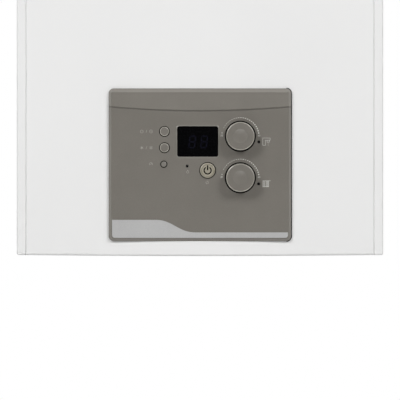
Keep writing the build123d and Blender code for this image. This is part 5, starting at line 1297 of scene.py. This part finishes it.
# %% Pump vent screw and gas test nipples
vent_profile = [
    (13.0, -0.5), (13.0, 1.0), (11.8, 1.6), (9.0, 1.6), (9.0, 0.8), (8.2, 0.8), (8.2, 1.8), (0, 1.8),
]
nipple_profile = [(3.4, -0.3), (3.4, 3.2), (2.2, 3.8), (2.2, 6.4), (2.8, 6.8), (2.8, 8.6), (0, 8.8)]
nipple_x = 14.0
nipple_rise = 15.0
bm = bmesh.new()
turned(bm, Vector((pump_middle.x, pump_y, pump_middle.z)), forward, vent_profile, 40)
for side in (-1, 1):
    place = Vector((gas_x + side * nipple_x, valve_face, gas_low.z + nipple_rise))
    turned(bm, place, forward, nipple_profile, 24)
make_piece("brass_fittings", bm, "brass")

# %% [markdown]
# ## Flue seals
# Two lip seals of black rubber sit just inside the flue collar: one for the flue pipe and one for
# the air pipe around it. Each has three fine lips that bend when a pipe is pushed in.

# %% Lip seals
flue_bore = 29.0
air_bore = 48.5
seal_drop = 4.0
seal_height = 14.0
lips = 3
lip_pitch = 4.0
flue_y = middle("flue_duct").y
seat = Vector((0.0, flue_y, corners("flue_collar")[1].z - seal_drop))
bm = bmesh.new()
for bore in (flue_bore, air_bore):
    profile = [(bore + 0.02, -seal_height), (bore + 0.02, 0.0), (bore - 0.9, 0.0)]
    for step in range(lips):
        level = -2.0 - lip_pitch * step
        profile += [(bore - 1.1, level), (bore - 3.0, level - 1.2), (bore - 1.0, level - 1.6)]
    profile += [(bore - 1.0, -seal_height)]
    turned(bm, seat, upward, profile, 56, closed=True)
make_piece("flue_seals", bm, "seal_rubber")

# %% [markdown]
# Three screws hold the collar's plate to the top of the case.

# %% Collar screws
collar_plate = 3.0
collar_foot = corners("top_panel")[1].z + collar_plate
collar_screws = [(-58.0, -58.0), (58.0, -58.0), (0.0, 62.0)]     # to the right, and forwards
bm = bmesh.new()
for right, front in collar_screws:
    screw_head(bm, Vector((right, flue_y - front, collar_foot)), upward, 3.8, 2.4)
make_piece("collar_screws", bm, "zinc_fixings")

# %% [markdown]
# ## Control box fixings and lead comb
# The lid of the control box is held at its four corners, and a nylon comb keeps the leads apart
# on their way up.

# %% Control box screws
box_low, box_high = corners("control_box")
screw_x = box_high.x - 10.0
screw_edge = 9.0
bm = bmesh.new()
for side in (-1, 1):
    for z in (box_low.z + screw_edge, box_high.z - screw_edge):
        screw_head(bm, Vector((side * screw_x, box_low.y, z)), forward, 3.4, 2.2)
make_piece("control_box_screws", bm, "zinc_fixings")

# %% [markdown]
# The comb is a nylon bar with four eyes, ten millimetres apart.

# %% Lead comb
lead_places = (-114.5, -104.5, -94.5, -84.5)
lead_depth = 238.0
comb_rise = 26.0
comb_size = (42.0, 5.0, 7.0)
comb_middle = sum(lead_places) / len(lead_places)
comb_z = box_high.z + comb_rise
bm = bmesh.new()
block(bm, Vector((comb_middle, -lead_depth, comb_z)), comb_size, edge=1.2)
for x in lead_places:
    place = Vector((x, -lead_depth, comb_z))
    ring(bm, place, upward, 2.4, 4.6, -comb_size[2] / 2, comb_size[2] / 2, edge=0.6, steps=28)
make_piece("lead_comb", bm, "clip_nylon")

# %% [markdown]
# ## The studio
# The boiler was photographed on white, straight from the front, with two soft lamps high to the
# left and right and a weaker one low down. The camera and mirror-like surfaces see white all
# round, but behind the camera the studio is dark, and so is the mirror image of the floor from a
# short way ahead of the boiler. This is why the fascia's face is darker than its bevelled rim,
# and why the dishes in the knobs aren't lit from below. The floor is seen from above only, so
# that a view from below is open.

# %% Floor
floor_drop = 1.0
floor_size = 30.0
bm = bmesh.new()
bmesh.ops.create_grid(bm, x_segments=1, y_segments=1, size=floor_size / 2)
bmesh.ops.translate(bm, verts=bm.verts, vec=(0, 0, cad_box[0][2] - floor_drop))
floor_mesh = bpy.data.meshes.new("studio_floor")
bm.to_mesh(floor_mesh)
bm.free()
floor = bpy.data.objects.new("studio_floor", floor_mesh)
scene.collection.objects.link(floor)
floor_paint, tree, space = new_material("pale_floor", Base_Color=linear("#f2f2f0"), Roughness=0.8)
floor_mesh.materials.append(floor_paint)
print("studio floor at height", round(cad_box[0][2] - floor_drop, 3))

# %% [markdown]
# To the camera and in mirrors the floor glows white, a little less so near the boiler. A mirror
# ray that meets it a short way ahead of the boiler finds it dark, and from below it is clear.

# %% What the camera and mirrors see of the floor
glow_start = 1.5
glow_end = 5.0
near_glow = 0.8
dark_ahead = -0.58
bright_below = -0.36
dark_level = 0.08
rays = add(tree, "LightPath")
white = add(tree, "Emission", {"Color": (1, 1, 1, 1), "Strength": 1.0})
away = add(tree, "VectorMath", {0: space}, operation="LENGTH").outputs["Value"]
fade = add(tree, "MapRange", {
    "Value": away, "From Min": glow_start, "From Max": glow_end, "To Min": near_glow, "To Max": 1.0,
})
ahead = add(tree, "SeparateXYZ", {"Vector": space}).outputs["Y"]
mirrored = add(tree, "MapRange", {
    "Value": ahead, "From Min": dark_ahead, "From Max": bright_below, "To Min": dark_level,
    "To Max": 1.0,
})
looked = add(tree, "Math", {
    0: rays.outputs["Is Glossy Ray"], 1: mirrored, 2: rays.outputs["Is Camera Ray"],
}, operation="MULTIPLY_ADD")
seen = add(tree, "Math", {0: looked, 1: fade}, operation="MULTIPLY", use_clamp=True)
painted = tree.nodes["Principled BSDF"]
mixed = add(tree, "MixShader", {"Fac": seen, 1: painted, 2: white})
below = add(tree, "NewGeometry").outputs["Backfacing"]
clear = add(tree, "BsdfTransparent")
open_below = add(tree, "MixShader", {"Fac": below, 1: mixed, 2: clear})
tree.links.new(open_below.outputs["Shader"], tree.nodes["Material Output"].inputs["Surface"])

# %% [markdown]
# The world lights the boiler evenly at a fifth of white. Camera rays and rays through glass find
# plain white. Mirror rays find white at the sides, brighter overhead and dark behind the camera,
# so every bevel catches a light line.

# %% World
plain_level = 0.2
dark_behind = -0.9
dark_share = 0.03
side_glow = 0.9
top_glow = 1.5
world = bpy.data.worlds.new("studio")
scene.world = world
world.use_nodes = True
tree = world.node_tree
rays = add(tree, "LightPath")
way = add(tree, "SeparateXYZ", {"Vector": add(tree, "TexCoord").outputs["Generated"]})
room = add(tree, "MapRange", {
    "Value": way.outputs["Y"], "From Min": dark_behind, "From Max": 0.0, "To Min": dark_share,
    "To Max": 1.0,
}, interpolation_type="SMOOTHSTEP")
steep = add(tree, "Math", {0: way.outputs["Z"]}, operation="ABSOLUTE")
overhead = add(tree, "MapRange", {"Value": steep, "To Min": side_glow, "To Max": top_glow})
glow = add(tree, "Math", {0: room, 1: overhead}, operation="MULTIPLY")
level = plain_level
for ray, strength in (("Is Glossy Ray", glow), ("Is Transmission Ray", 1.0), ("Is Camera Ray", 1.0)):
    level = add(tree, "Mix", {"Factor": rays.outputs[ray], "A": level, "B": strength}, data_type="FLOAT")
background = tree.nodes["Background"]
tree.links.new(level.outputs["Result"], background.inputs["Strength"])
background.inputs["Color"].default_value = (1, 1, 1, 1)

# %% [markdown]
# Three square soft lamps face the middle of the boiler's front. The left one is a little stronger
# than the right one, and the low one only softens the shadows under the rims.

# %% Lamps
panel_middle = Vector((0, cad_box[0][1], (cad_box[0][2] + cad_box[1][2]) / 2))


def softbox(name, place, size, watts):
    """A square soft lamp that faces the middle of the boiler's front."""
    lamp = bpy.data.lights.new(name, "AREA")
    lamp.size = size
    lamp.energy = watts
    holder = bpy.data.objects.new(name, lamp)
    holder.location = place
    holder.rotation_euler = (panel_middle - holder.location).to_track_quat("-Z", "Y").to_euler()
    scene.collection.objects.link(holder)
    print(name, watts, "watts")


softbox("left_softbox", Vector((-2.4, -3.6, 1.7)), 1.6, 112.0)
softbox("right_softbox", Vector((2.4, -3.6, 1.7)), 1.6, 100.0)
softbox("low_softbox", Vector((0.0, -3.2, -2.2)), 1.8, 26.0)

# %% [markdown]
# The photograph was taken straight from the front. The lens follows from the real size of one
# pixel at the front of the case, and the height of the camera from where the photograph's middle
# lies on the front panel.

# %% Camera
photo_pixels = 400
pixel_size = 1.0914 * mm
lens_height = 61.1 * mm
shot_distance = 6.0
flange_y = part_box("left_side_panel")[0].y
camera_data = bpy.data.cameras.new("camera")
camera_data.sensor_width = 36.0
camera_data.lens = camera_data.sensor_width * shot_distance / (photo_pixels * pixel_size)
camera = bpy.data.objects.new("camera", camera_data)
camera.location = (0.0, flange_y - shot_distance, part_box("front_panel")[0].z + lens_height)
camera.rotation_euler = (pi / 2, 0, 0)
camera_data.clip_end = 100.0
scene.collection.objects.link(camera)
scene.camera = camera
scene.view_settings.view_transform = "Standard"
print("camera lens", round(camera_data.lens, 1), "mm")
